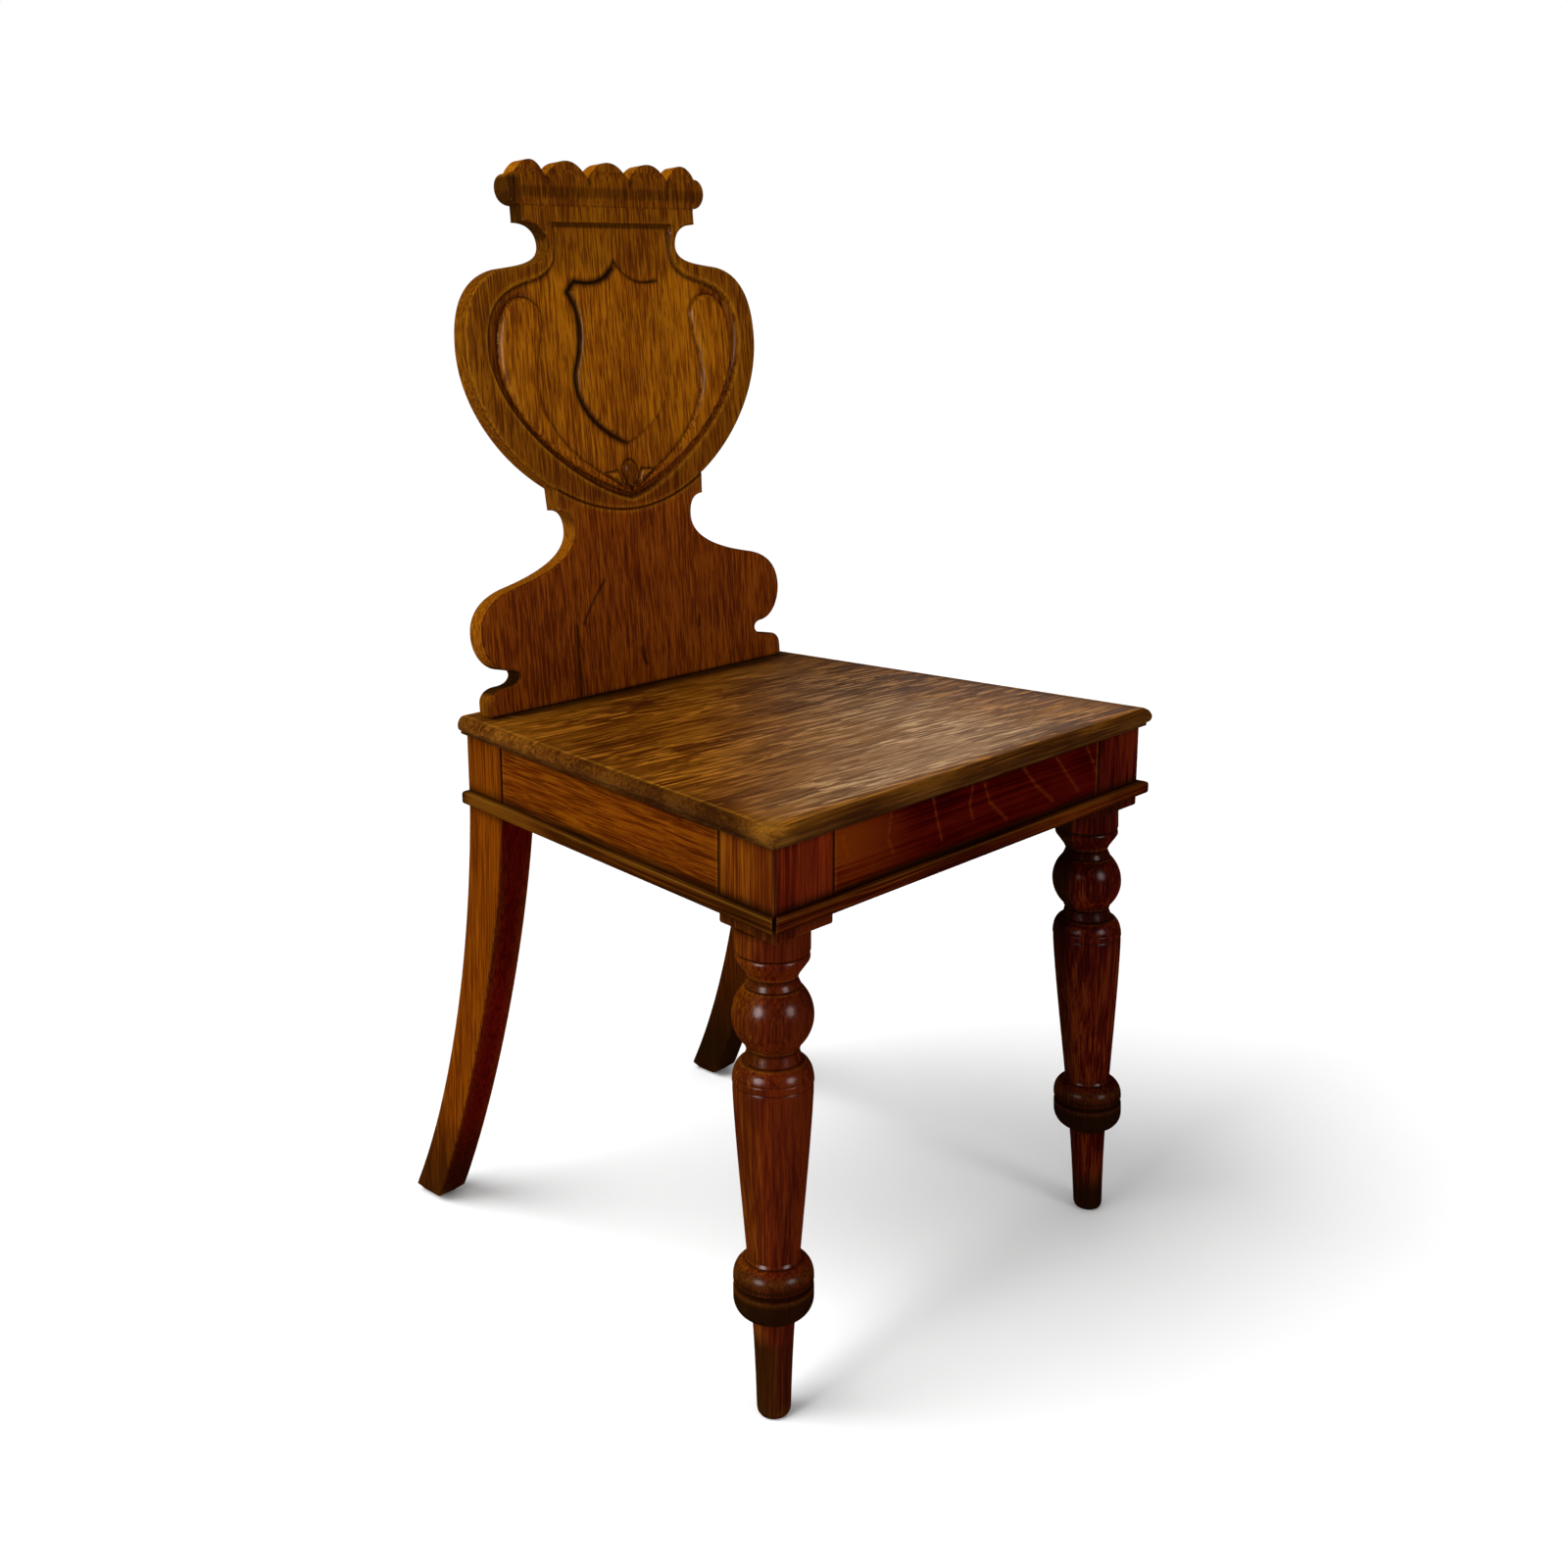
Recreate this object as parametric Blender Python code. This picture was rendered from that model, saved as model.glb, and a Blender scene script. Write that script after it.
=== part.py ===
"""A carved oak hall chair: plank seat, shaped back, turned front legs and sabre rear legs.

Metres, +Z up. The sitter faces -Y and right means +X. The origin is on the floor under the
middle of the chair. A depth, written d, runs backwards from the front face of the apron.
"""
import math

import bmesh
import bpy
from mathutils import Matrix, Vector

# Seat and apron
SEAT_HEIGHT = 0.446
SEAT_THICKNESS = 0.0145
SEAT_OVERHANG = 0.008
SEAT_REAR_OVERHANG = 0.001
NOSE_DEPTH = 0.0065
NOSE_FILLET_HEIGHT = 0.0025
NOSE_FILLET_SETBACK = 0.003
NOSE_BELLY_HEIGHT = 0.0067
APRON_FRONT_WIDTH = 0.436
APRON_TAPER = 0.088
APRON_DEPTH = 0.383
RAIL_HEIGHT = 0.0582
RAIL_THICKNESS = 0.022
BACK_RAIL_THICKNESS = 0.024
MOULDING_HEIGHT = 0.0105
MOULDING_PROJECTION = 0.007

# Front legs: a square block, then a turning read from the block down to the floor
FRONT_BLOCK = 0.058
PAD_DROP = 0.0098
FRONT_LEG_SPLAY = 0.010
COLLAR_RADIUS = 0.0262
COLLAR_LENGTH = 0.018
OVOLO_LENGTH = 0.0158
OVOLO_ROUND = 0.0045
UPPER_NECK_RADIUS = 0.0172
UPPER_NECK_FLARE = 0.0192
UPPER_NECK_LENGTH = 0.0087
LOWER_NECK_RADIUS = 0.0182
LOWER_NECK_FLARE = 0.0202
LOWER_NECK_LENGTH = 0.0104
BALL_RADIUS = 0.0285
VASE_RADIUS = 0.0286
VASE_LENGTH = 0.015
TAPER_RADIUS = 0.0187
TAPER_SWELL = 0.0008
TAPER_SWELL_PLACE = 0.3
RING_RADIUS = 0.0286
RING_TOP = 0.1205
RING_SHOULDER = 0.0135
RING_GROOVE_HEIGHT = 0.102
RING_GROOVE_DEPTH = 0.0022
RING_CUP_HEIGHT = 0.0915
TOE_TOP = 0.0775
TOE_RADIUS = 0.0158
TOE_WAIST_RADIUS = 0.0132
TOE_WAIST_HEIGHT = 0.045
TOE_END_RADIUS = 0.0122
TOE_ROUNDING = 0.003
TURNED_GROOVE = 0.0009
TURNING_SIDES = 28

# Rear legs: square in section, straight at the top and swept back to the floor
REAR_BLOCK_DEPTH = 0.051
REAR_BLOCK_WIDTH = 0.026
REAR_LEG_KICK = 0.089
REAR_FOOT_DEPTH = 0.034
REAR_FOOT_WIDTH = 0.028
REAR_FOOT_SPLAY = 0.020
REAR_LEG_STEPS = 14

# Joinery
JOINT_GAP = 0.0003
MITRE_GAP = 0.0007
TENON_SHOULDER = 0.0055
TENON_LENGTH = 0.020
MORTISE_WALL = 0.003
BRACE_THICKNESS = 0.028
BRACE_HEIGHT = 0.030
BRACE_CLEARANCE = 0.0005
BRACE_GRIP = 0.012
SCREW_RADIUS = 0.002
SCREW_LENGTH = 0.026
SCREW_POINT = 0.005
SCREW_TIP_RADIUS = 0.0004
SCREW_HEAD_RADIUS = 0.004
SCREW_HEAD_HEIGHT = 0.0026
SCREW_SLOT_WIDTH = 0.001
SCREW_SLOT_DEPTH = 0.0012
SEAT_SCREW_BITE = 0.008
BACK_TENON_WIDTH = 0.055
BACK_TENON_CLEARANCE = 0.020
BACK_TENON_BITE = 0.024
BACK_TENON_SHOULDER = 0.004
PEG_RADIUS = 0.004
PEG_END_WALL = 0.004

# Back board: half widths, and heights up the board from the seat
BACK_INSET = 0.027
BACK_RAKE = 0.086
BACK_THICKNESS = 0.017
PLINTH_INSET = 0.006
PLINTH_HEIGHT = 0.0225
NOTCH_DEPTH = 0.031
NOTCH_HEIGHT = 0.013
SHOULDER_SWELL = 0.003
SHOULDER_MID = 0.066
SHOULDER_TOP = 0.100
WAIST_HALF = 0.0665
WAIST_MID = 0.140
COLLAR_HALF = 0.082
COLLAR_LOW = 0.158
CARTOUCHE_HALF = 0.1605
CARTOUCHE_LOW = 0.152
CARTOUCHE_MID = 0.291
CARTOUCHE_TOP = 0.3525
NECK_HALF = 0.0705
NECK_MID = 0.371
FILLET_HALF = 0.0945
FILLET_LOW = 0.389
FILLET_TOP = 0.402
ROLL_HALF = 0.1085
ROLL_TOP = 0.427
CREST_HALF = 0.0985
LOBE_TOP = 0.4375
LOBE_VALLEY = 0.4235
LOBE_WIDTH = 0.0445
LOBE_ROUNDNESS = 2.2
LOBE_STEPS = 8

# Carving on the front of the back board
GROUND_DEPTH = 0.003
RIM_WIDTH = 0.020
RIM_FOOT = 0.008
NECK_RIM = 0.005
POD_SINK = 0.0006
CARVING_ROOT = 0.002

# How far a guide solid runs past the face it cuts or joins
OVERCUT = 0.004
CURVE_STEPS = 10

OAK = (0.19, 0.075, 0.018)
OAK_DARK = (0.12, 0.038, 0.012)
OAK_HIDDEN = (0.30, 0.17, 0.075)
STEEL = (0.33, 0.32, 0.31)

# Places that follow from the sizes above
FRONT_Y = (SEAT_OVERHANG - APRON_DEPTH - REAR_LEG_KICK) / 2
SPLAY = math.atan2(APRON_TAPER / 2, APRON_DEPTH)
APRON_REAR_WIDTH = APRON_FRONT_WIDTH - APRON_TAPER
REAR_FOOT_SPREAD = APRON_REAR_WIDTH + REAR_FOOT_SPLAY
SEAT_BOTTOM = SEAT_HEIGHT - SEAT_THICKNESS
RAIL_TOP = SEAT_BOTTOM - JOINT_GAP
RAIL_BOTTOM = RAIL_TOP - RAIL_HEIGHT
BLOCK_BOTTOM = RAIL_BOTTOM - PAD_DROP
REAR_BLOCK_FRONT = APRON_DEPTH - REAR_BLOCK_DEPTH
REAR_BLOCK_INNER = APRON_REAR_WIDTH / 2 - REAR_BLOCK_WIDTH
BACK_BASE = SEAT_HEIGHT + JOINT_GAP
BACK_SETBACK = APRON_DEPTH - BACK_INSET
PLINTH_HALF = APRON_REAR_WIDTH / 2 - PLINTH_INSET
NOTCH_HALF = PLINTH_HALF - NOTCH_DEPTH
SHOULDER_HALF = PLINTH_HALF + SHOULDER_SWELL
BACK_TENON_LENGTH = SEAT_THICKNESS + BACK_TENON_BITE
BACK_TENON_DROP = SEAT_THICKNESS + BACK_TENON_BITE / 2
BACK_RAIL_MID = BACK_SETBACK + BACK_THICKNESS / 2 - BACK_TENON_DROP * math.tan(BACK_RAKE)
BACK_RAIL_FRONT = BACK_RAIL_MID - BACK_RAIL_THICKNESS / 2
PEG_HEIGHT = RAIL_TOP - BACK_TENON_BITE / 2


# Points

def at(x, depth, height):
    """The place x to the right, depth behind the apron's front face and height above the floor."""
    return Vector((x, FRONT_Y + depth, height))


def side(depth):
    """Half the apron's width at a depth."""
    return APRON_FRONT_WIDTH / 2 - math.tan(SPLAY) * depth


def inside(depth, inset):
    """The x of a line inset square to the apron's side face."""
    return side(depth) - inset / math.cos(SPLAY)


def bezier(start, lead, trail, end, steps=CURVE_STEPS, skip=0.0):
    """Points along a cubic curve from the share skip of it, without the first one."""
    points = []
    for step in range(1, steps + 1):
        t = skip + (1 - skip) * step / steps
        weights = ((1 - t) ** 3, 3 * t * (1 - t) ** 2, 3 * t * t * (1 - t), t ** 3)
        corners = (start, lead, trail, end)
        points.append(tuple(sum(w * c[i] for w, c in zip(weights, corners)) for i in (0, 1)))
    return points


def mirrored(half):
    """A whole outline from its right half, which starts or ends on the centre line or not."""
    left = [(-x, s) for x, s in reversed(half) if x > 1e-6]
    return half + left


# Closed solids

def loft(rings):
    """A closed solid through rings with the same number of points, capped at both ends."""
    bm = bmesh.new()
    loops = [[bm.verts.new(point) for point in ring] for ring in rings]
    for low, high in zip(loops, loops[1:]):
        for i, corner in enumerate(low):
            j = (i + 1) % len(low)
            bm.faces.new((corner, low[j], high[j], high[i]))
    bm.faces.new(loops[0])
    bm.faces.new(loops[-1])
    return bm


def prism(plan, low, high):
    """An upright solid over plan, a list of (x, depth) corners."""
    return loft([[at(x, depth, height) for x, depth in plan] for height in (low, high)])


def slab(outline, front, rear):
    """A solid in the back board's own axes: outline is (x, height up the board) corners."""
    return loft([[Vector((x, depth, s)) for x, s in outline] for depth in (front, rear)])


def turned(profile, sides):
    """A solid of (radius, height) points turned about the local Z axis."""
    angles = [2 * math.pi * i / sides for i in range(sides)]
    rings = []
    for radius, height in profile:
        rings.append([Vector((radius * math.cos(a), radius * math.sin(a), height)) for a in angles])
    return loft(rings)


def rod(start, direction, profile, sides=16):
    """A turned solid whose local Z axis starts at start and points along direction."""
    bm = turned(profile, sides)
    turn = direction.to_track_quat("Z", "Y").to_matrix().to_4x4()
    bm.transform(Matrix.Translation(start) @ turn)
    return bm


# Objects

def oak_or_steel(name, colour, roughness, metallic):
    material = bpy.data.materials.new(name)
    material.use_nodes = True
    shader = material.node_tree.nodes["Principled BSDF"]
    shader.inputs["Base Color"].default_value = (*colour, 1.0)
    shader.inputs["Roughness"].default_value = roughness
    shader.inputs["Metallic"].default_value = metallic
    return material


def add(name, bm, colour, roughness=0.42, metallic=0.0, smooth=False):
    """A named object from a closed bmesh, under the chair's empty."""
    bmesh.ops.recalc_face_normals(bm, faces=bm.faces)
    mesh = bpy.data.meshes.new(name)
    bm.to_mesh(mesh)
    bm.free()
    if smooth:
        mesh.shade_smooth()
        mesh.set_sharp_from_angle(angle=math.radians(35))
    mesh.materials.append(oak_or_steel(name, colour, roughness, metallic))
    obj = bpy.data.objects.new(name, mesh)
    bpy.context.scene.collection.objects.link(obj)
    obj.parent = CHAIR
    return obj


def shape(obj, operation, bm, label):
    """Joins a guide solid to obj or cuts it away; the guide stays hidden beside it."""
    guide = add(f"{obj.name}.{label}", bm, OAK_HIDDEN)
    guide.hide_render = True
    guide.display_type = "WIRE"
    guide.location = obj.location
    guide.rotation_euler = obj.rotation_euler
    modifier = obj.modifiers.new(label, "BOOLEAN")
    modifier.operation = operation
    modifier.object = guide


def hand_name(hand):
    return "right" if hand > 0 else "left"


def end_name(front):
    return "front" if front else "rear"


def handed(plan, hand):
    return [(hand * x, depth) for x, depth in plan]


# Tenons, which the rails carry and the legs' mortises repeat with a gap

def front_tenon(hand, gap=0.0):
    inner = APRON_FRONT_WIDTH / 2 - FRONT_BLOCK
    reach = inner + TENON_LENGTH - JOINT_GAP + gap
    near = TENON_SHOULDER - gap
    far = RAIL_THICKNESS - TENON_SHOULDER + gap
    root = inner - OVERCUT
    plan = [(root, near), (reach, near), (reach, far), (root, far)]
    return prism(handed(plan, hand), *tenon_heights(gap))


def side_tenon(hand, front, gap=0.0):
    near = TENON_SHOULDER - gap
    far = RAIL_THICKNESS - TENON_SHOULDER + gap
    if front:
        ends = (FRONT_BLOCK + JOINT_GAP - TENON_LENGTH - gap, FRONT_BLOCK + OVERCUT)
    else:
        ends = (REAR_BLOCK_FRONT - OVERCUT, REAR_BLOCK_FRONT - JOINT_GAP + TENON_LENGTH + gap)
    return prism(handed(side_strip(near, far, *ends), hand), *tenon_heights(gap))


def back_tenon(hand, gap=0.0):
    """The back rail's tenon stops short of the side rail's tenon in the same leg."""
    deepest = REAR_BLOCK_FRONT + TENON_LENGTH
    reach = inside(deepest, RAIL_THICKNESS - TENON_SHOULDER) - MORTISE_WALL + gap
    near = BACK_RAIL_FRONT + TENON_SHOULDER - gap
    far = BACK_RAIL_FRONT + BACK_RAIL_THICKNESS - TENON_SHOULDER + gap
    root = REAR_BLOCK_INNER - OVERCUT
    plan = [(root, near), (reach, near), (reach, far), (root, far)]
    return prism(handed(plan, hand), *tenon_heights(gap))


def tenon_heights(gap):
    return RAIL_BOTTOM + TENON_SHOULDER - gap, RAIL_TOP - TENON_SHOULDER + gap


def side_strip(near, far, front, rear):
    """A strip along the right side, between two insets from its face and two depths."""
    return [
        (inside(front, near), front),
        (inside(rear, near), rear),
        (inside(rear, far), rear),
        (inside(front, far), front),
    ]


def seat_tenon_middle():
    """How far from the centre line a back tenon stands, clear of the rear corner block's screw."""
    rail_a, rail_b = brace_plan(False)[:2]
    screw_x = (rail_a[0] + rail_b[0]) / 2
    return screw_x - BACK_TENON_CLEARANCE - BACK_TENON_WIDTH / 2


def seat_tenon(hand, gap=0.0):
    """A tenon under the back board, in the board's own axes."""
    middle = hand * seat_tenon_middle()
    half = BACK_TENON_WIDTH / 2 + gap
    length = BACK_TENON_LENGTH / math.cos(BACK_RAKE) + gap
    outline = [(middle - half, -length), (middle + half, -length)]
    outline += [(middle + half, OVERCUT), (middle - half, OVERCUT)]
    return slab(outline, BACK_TENON_SHOULDER - gap, BACK_THICKNESS - BACK_TENON_SHOULDER + gap)


# Screws

def screw_profile(gap=0.0):
    """Shank from under the head at height 0 to the point, along +Z."""
    full = SCREW_LENGTH - SCREW_POINT
    return [
        (SCREW_RADIUS + gap, 0.0),
        (SCREW_RADIUS + gap, full),
        (SCREW_TIP_RADIUS + gap, SCREW_LENGTH + gap),
    ]


def screw_hole(seat, direction):
    """The shank's hole, opened backwards to take the head and a driver."""
    bore = SCREW_HEAD_RADIUS + JOINT_GAP
    pocket = [(bore, -(BRACE_THICKNESS + BRACE_HEIGHT)), (bore, -JOINT_GAP)]
    return rod(seat, direction, pocket + screw_profile(JOINT_GAP))


def screw(name, seat, direction):
    """A slotted round-head screw whose head bears at seat."""
    dome = [
        (SCREW_HEAD_RADIUS * math.cos(a), -JOINT_GAP - SCREW_HEAD_HEIGHT * math.sin(a))
        for a in (math.radians(75), math.radians(45), math.radians(20), 0.0)
    ]
    obj = add(name, rod(seat, direction, dome + screw_profile()), STEEL, 0.38, 0.9, smooth=True)
    floor = -JOINT_GAP - SCREW_HEAD_HEIGHT + SCREW_SLOT_DEPTH
    turn = direction.to_track_quat("Z", "Y")
    half = SCREW_SLOT_WIDTH / 2
    reach = SCREW_HEAD_RADIUS * 1.5
    bottom = -SCREW_HEAD_HEIGHT * 2
    corners = [(-reach, -half), (reach, -half), (reach, half), (-reach, half)]
    rings = [[seat + turn @ Vector((u, v, z)) for u, v in corners] for z in (bottom, floor)]
    shape(obj, "DIFFERENCE", loft(rings), "slot")


def brace_plan(front):
    """A diagonal block across an inside corner of the apron, on the right-hand side.

    Its long edges run at 45 degrees past the leg block's inner corner, and its ends lie flat
    against the end rail and the side rail.
    """
    if front:
        way, rail_face = 1, RAIL_THICKNESS + JOINT_GAP
        corner = (APRON_FRONT_WIDTH / 2 - FRONT_BLOCK, FRONT_BLOCK)
    else:
        way, rail_face = -1, BACK_RAIL_FRONT - JOINT_GAP
        corner = (REAR_BLOCK_INNER, REAR_BLOCK_FRONT)
    outer = corner[0] - way * corner[1] - BRACE_CLEARANCE * math.sqrt(2)
    inner = outer - BRACE_THICKNESS * math.sqrt(2)
    at_rail = [(way * rail_face + k, rail_face) for k in (outer, inner)]
    rail_side = inside(0, RAIL_THICKNESS) - JOINT_GAP / math.cos(SPLAY)
    depths = [(rail_side - k) / (way + math.tan(SPLAY)) for k in (inner, outer)]
    at_side = [(way * depth + k, depth) for depth, k in zip(depths, (inner, outer))]
    return at_rail + at_side


def brace_screws(front, hand):
    """The seat and direction of the end-rail, side-rail and seat screws of one brace."""
    rail_a, rail_b, side_a, side_b = brace_plan(front)
    way = 1 if front else -1
    height = RAIL_TOP - BRACE_HEIGHT / 2
    end_x = hand * (rail_a[0] + rail_b[0]) / 2
    end_seat = at(end_x, rail_a[1] + way * BRACE_GRIP, height)
    side_x = (side_a[0] + side_b[0]) / 2 - BRACE_GRIP * math.cos(SPLAY)
    side_d = (side_a[1] + side_b[1]) / 2 - BRACE_GRIP * math.sin(SPLAY)
    side_seat = at(hand * side_x, side_d, height)
    side_way = Vector((hand * math.cos(SPLAY), math.sin(SPLAY), 0))
    middle_x = hand * (rail_a[0] + rail_b[0] + side_a[0] + side_b[0]) / 4
    middle_d = (rail_a[1] + rail_b[1] + side_a[1] + side_b[1]) / 4
    seat_seat = at(middle_x, middle_d, SEAT_BOTTOM + SEAT_SCREW_BITE - SCREW_LENGTH)
    return {
        "end": (end_seat, Vector((0, -way, 0))),
        "side": (side_seat, side_way),
        "seat": (seat_seat, Vector((0, 0, 1))),
    }


# Sub-parts

def seat_ring(inset, height):
    front = inset - SEAT_OVERHANG
    rear = APRON_DEPTH + SEAT_REAR_OVERHANG
    edge = inset - SEAT_OVERHANG
    plan = [(inside(front, edge), front), (inside(rear, edge), rear)]
    plan += [(-x, depth) for x, depth in reversed(plan)]
    return [at(x, depth, height) for x, depth in plan]


def make_seat():
    """The plank seat, with a rounded nose over a small fillet on the front and sides."""
    rings = [seat_ring(NOSE_FILLET_SETBACK, SEAT_BOTTOM)]
    rings.append(seat_ring(NOSE_FILLET_SETBACK, SEAT_BOTTOM + NOSE_FILLET_HEIGHT))
    belly = SEAT_BOTTOM + NOSE_BELLY_HEIGHT
    for degrees in (-70, -35, 0, 22, 45, 67, 90):
        angle = math.radians(degrees)
        rise = NOSE_BELLY_HEIGHT - NOSE_FILLET_HEIGHT
        reach = NOSE_FILLET_SETBACK
        if degrees > 0:
            rise = SEAT_THICKNESS - NOSE_BELLY_HEIGHT
            reach = NOSE_DEPTH
        rings.append(seat_ring(reach * (1 - math.cos(angle)), belly + rise * math.sin(angle)))
    seat = add("seat_board", loft(rings), OAK, 0.36)
    for hand in (1, -1):
        slot = seat_tenon(hand, JOINT_GAP)
        slot.transform(back_matrix())
        shape(seat, "DIFFERENCE", slot, f"mortise_{hand_name(hand)}")
        for front in (True, False):
            hole = screw_hole(*brace_screws(front, hand)["seat"])
            shape(seat, "DIFFERENCE", hole, f"hole_{end_name(front)}_{hand_name(hand)}")


def make_rails():
    front_inner = APRON_FRONT_WIDTH / 2 - FRONT_BLOCK - JOINT_GAP
    plan = [(front_inner, 0), (front_inner, RAIL_THICKNESS)]
    plan += [(-x, depth) for x, depth in reversed(plan)]
    front_rail = add("front_rail", prism(plan, RAIL_BOTTOM, RAIL_TOP), OAK_DARK)
    back_inner = REAR_BLOCK_INNER - JOINT_GAP
    plan = [(back_inner, BACK_RAIL_FRONT), (back_inner, BACK_RAIL_FRONT + BACK_RAIL_THICKNESS)]
    plan += [(-x, depth) for x, depth in reversed(plan)]
    back_rail = add("back_rail", prism(plan, RAIL_BOTTOM, RAIL_TOP), OAK)
    for hand in (1, -1):
        word = hand_name(hand)
        shape(front_rail, "UNION", front_tenon(hand), f"tenon_{word}")
        shape(back_rail, "UNION", back_tenon(hand), f"tenon_{word}")
        ends = (FRONT_BLOCK + JOINT_GAP, REAR_BLOCK_FRONT - JOINT_GAP)
        strip = handed(side_strip(0, RAIL_THICKNESS, *ends), hand)
        rail = add(f"side_rail_{word}", prism(strip, RAIL_BOTTOM, RAIL_TOP), OAK)
        for front in (True, False):
            shape(rail, "UNION", side_tenon(hand, front), f"tenon_{end_name(front)}")
            holes = brace_screws(front, hand)
            shape(rail, "DIFFERENCE", screw_hole(*holes["side"]), f"hole_{end_name(front)}")
            end_rail = front_rail if front else back_rail
            shape(end_rail, "DIFFERENCE", screw_hole(*holes["end"]), f"hole_{word}")
        slot = seat_tenon(hand, JOINT_GAP)
        slot.transform(back_matrix())
        shape(back_rail, "DIFFERENCE", slot, f"mortise_{word}")
        shape(back_rail, "DIFFERENCE", peg_solid(hand, JOINT_GAP), f"peg_hole_{word}")


def ellipse_arc(middle_height, half_height, core, swell, start, end, steps):
    """Turned points on an ellipse that stands swell out from core, between two angles."""
    points = []
    for step in range(steps + 1):
        angle = math.radians(start + (end - start) * step / steps)
        points.append((core + swell * math.cos(angle), middle_height + half_height * math.sin(angle)))
    return points


def leg_profile():
    """Radius and height from inside the block down to the floor."""
    top = BLOCK_BOTTOM
    collar_end = top - COLLAR_LENGTH
    ovolo_end = collar_end - OVOLO_LENGTH
    ball_top = ovolo_end - UPPER_NECK_LENGTH
    upper_turn = math.acos(UPPER_NECK_FLARE / BALL_RADIUS)
    lower_turn = math.acos(LOWER_NECK_RADIUS / BALL_RADIUS)
    ball_mid = ball_top - BALL_RADIUS * math.sin(upper_turn)
    ball_end = ball_mid - BALL_RADIUS * math.sin(lower_turn)
    vase_top = ball_end - LOWER_NECK_LENGTH
    vase_end = vase_top - VASE_LENGTH
    groove = TURNED_GROOVE
    points = [(COLLAR_RADIUS, top + OVERCUT), (COLLAR_RADIUS, collar_end + groove)]
    points += [(COLLAR_RADIUS - groove, collar_end)]
    ovolo_core = COLLAR_RADIUS - groove / 2 - OVOLO_ROUND
    points += ellipse_arc(collar_end - 2 * groove, OVOLO_ROUND, ovolo_core, OVOLO_ROUND, 10, -35, 4)
    points += [(UPPER_NECK_RADIUS, ovolo_end), (UPPER_NECK_RADIUS, ovolo_end - 2 * groove)]
    turns = (math.degrees(upper_turn), -math.degrees(lower_turn))
    points += ellipse_arc(ball_mid, BALL_RADIUS, 0.0, BALL_RADIUS, *turns, 10)
    points += [(LOWER_NECK_RADIUS, ball_end - 2 * groove), (LOWER_NECK_FLARE, vase_top)]
    vase_swell = VASE_RADIUS - LOWER_NECK_FLARE
    points += ellipse_arc(vase_end, VASE_LENGTH, LOWER_NECK_FLARE, vase_swell, 75, 0, 5)
    points += [(VASE_RADIUS - groove, vase_end - groove)]
    taper = (VASE_RADIUS - groove / 2, vase_end - 2 * groove)
    swell_radius = taper[0] + (TAPER_RADIUS - taper[0]) * TAPER_SWELL_PLACE + TAPER_SWELL
    swell_height = taper[1] + (RING_TOP - taper[1]) * TAPER_SWELL_PLACE
    points += [taper, (swell_radius, swell_height), (TAPER_RADIUS, RING_TOP)]
    shoulder_end = RING_TOP - RING_SHOULDER
    ring_swell = RING_RADIUS - TAPER_RADIUS
    points += ellipse_arc(shoulder_end, RING_SHOULDER, TAPER_RADIUS, ring_swell, 70, 0, 4)
    low_radius = RING_RADIUS - RING_GROOVE_DEPTH
    points += [(RING_RADIUS, RING_GROOVE_HEIGHT + RING_GROOVE_DEPTH)]
    points += [(low_radius, RING_GROOVE_HEIGHT), (RING_RADIUS, RING_GROOVE_HEIGHT - RING_GROOVE_DEPTH)]
    cup_swell = RING_RADIUS - TOE_RADIUS
    points += ellipse_arc(RING_CUP_HEIGHT, RING_CUP_HEIGHT - TOE_TOP, TOE_RADIUS, cup_swell, 0, -80, 5)
    points += [(TOE_RADIUS, TOE_TOP - groove), (TOE_WAIST_RADIUS, TOE_WAIST_HEIGHT)]
    points += [(TOE_END_RADIUS, TOE_ROUNDING), (TOE_END_RADIUS - TOE_ROUNDING, 0.0)]
    return points


def leaning(hand):
    """A shear that carries the turning's foot out to the corner, with every ring left level."""
    slope = FRONT_LEG_SPLAY / BLOCK_BOTTOM
    lean = Matrix.Translation((hand * FRONT_LEG_SPLAY, -FRONT_LEG_SPLAY, 0))
    lean[0][2] = -hand * slope
    lean[1][2] = slope
    return lean


def make_front_leg(hand):
    """A square block mortised for the front and side rails, turned and splayed below."""
    word = hand_name(hand)
    axis_x = hand * (APRON_FRONT_WIDTH - FRONT_BLOCK) / 2
    axis = at(axis_x, FRONT_BLOCK / 2, 0)
    turning = turned(leg_profile(), TURNING_SIDES)
    turning.transform(Matrix.Translation(axis) @ leaning(hand))
    leg = add(f"front_leg_{word}", turning, OAK_DARK, 0.34, smooth=True)
    inner = APRON_FRONT_WIDTH / 2 - FRONT_BLOCK
    block = [(side(0), 0), (side(FRONT_BLOCK), FRONT_BLOCK), (inner, FRONT_BLOCK), (inner, 0)]
    shape(leg, "UNION", prism(handed(block, hand), BLOCK_BOTTOM, RAIL_TOP), "block")
    shape(leg, "DIFFERENCE", front_tenon(hand, JOINT_GAP), "front_mortise")
    shape(leg, "DIFFERENCE", side_tenon(hand, True, JOINT_GAP), "side_mortise")


def sabre_edge(top, foot, upper, lower):
    """Depth and height down one edge of a rear leg; the handles are shares of its sweep and height."""
    sweep = foot - top
    start = (top, RAIL_BOTTOM)
    lead = (top + upper[0] * sweep, upper[1] * RAIL_BOTTOM)
    trail = (top + lower[0] * sweep, lower[1] * RAIL_BOTTOM)
    return [start] + bezier(start, lead, trail, (foot, 0.0), REAR_LEG_STEPS)


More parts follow.
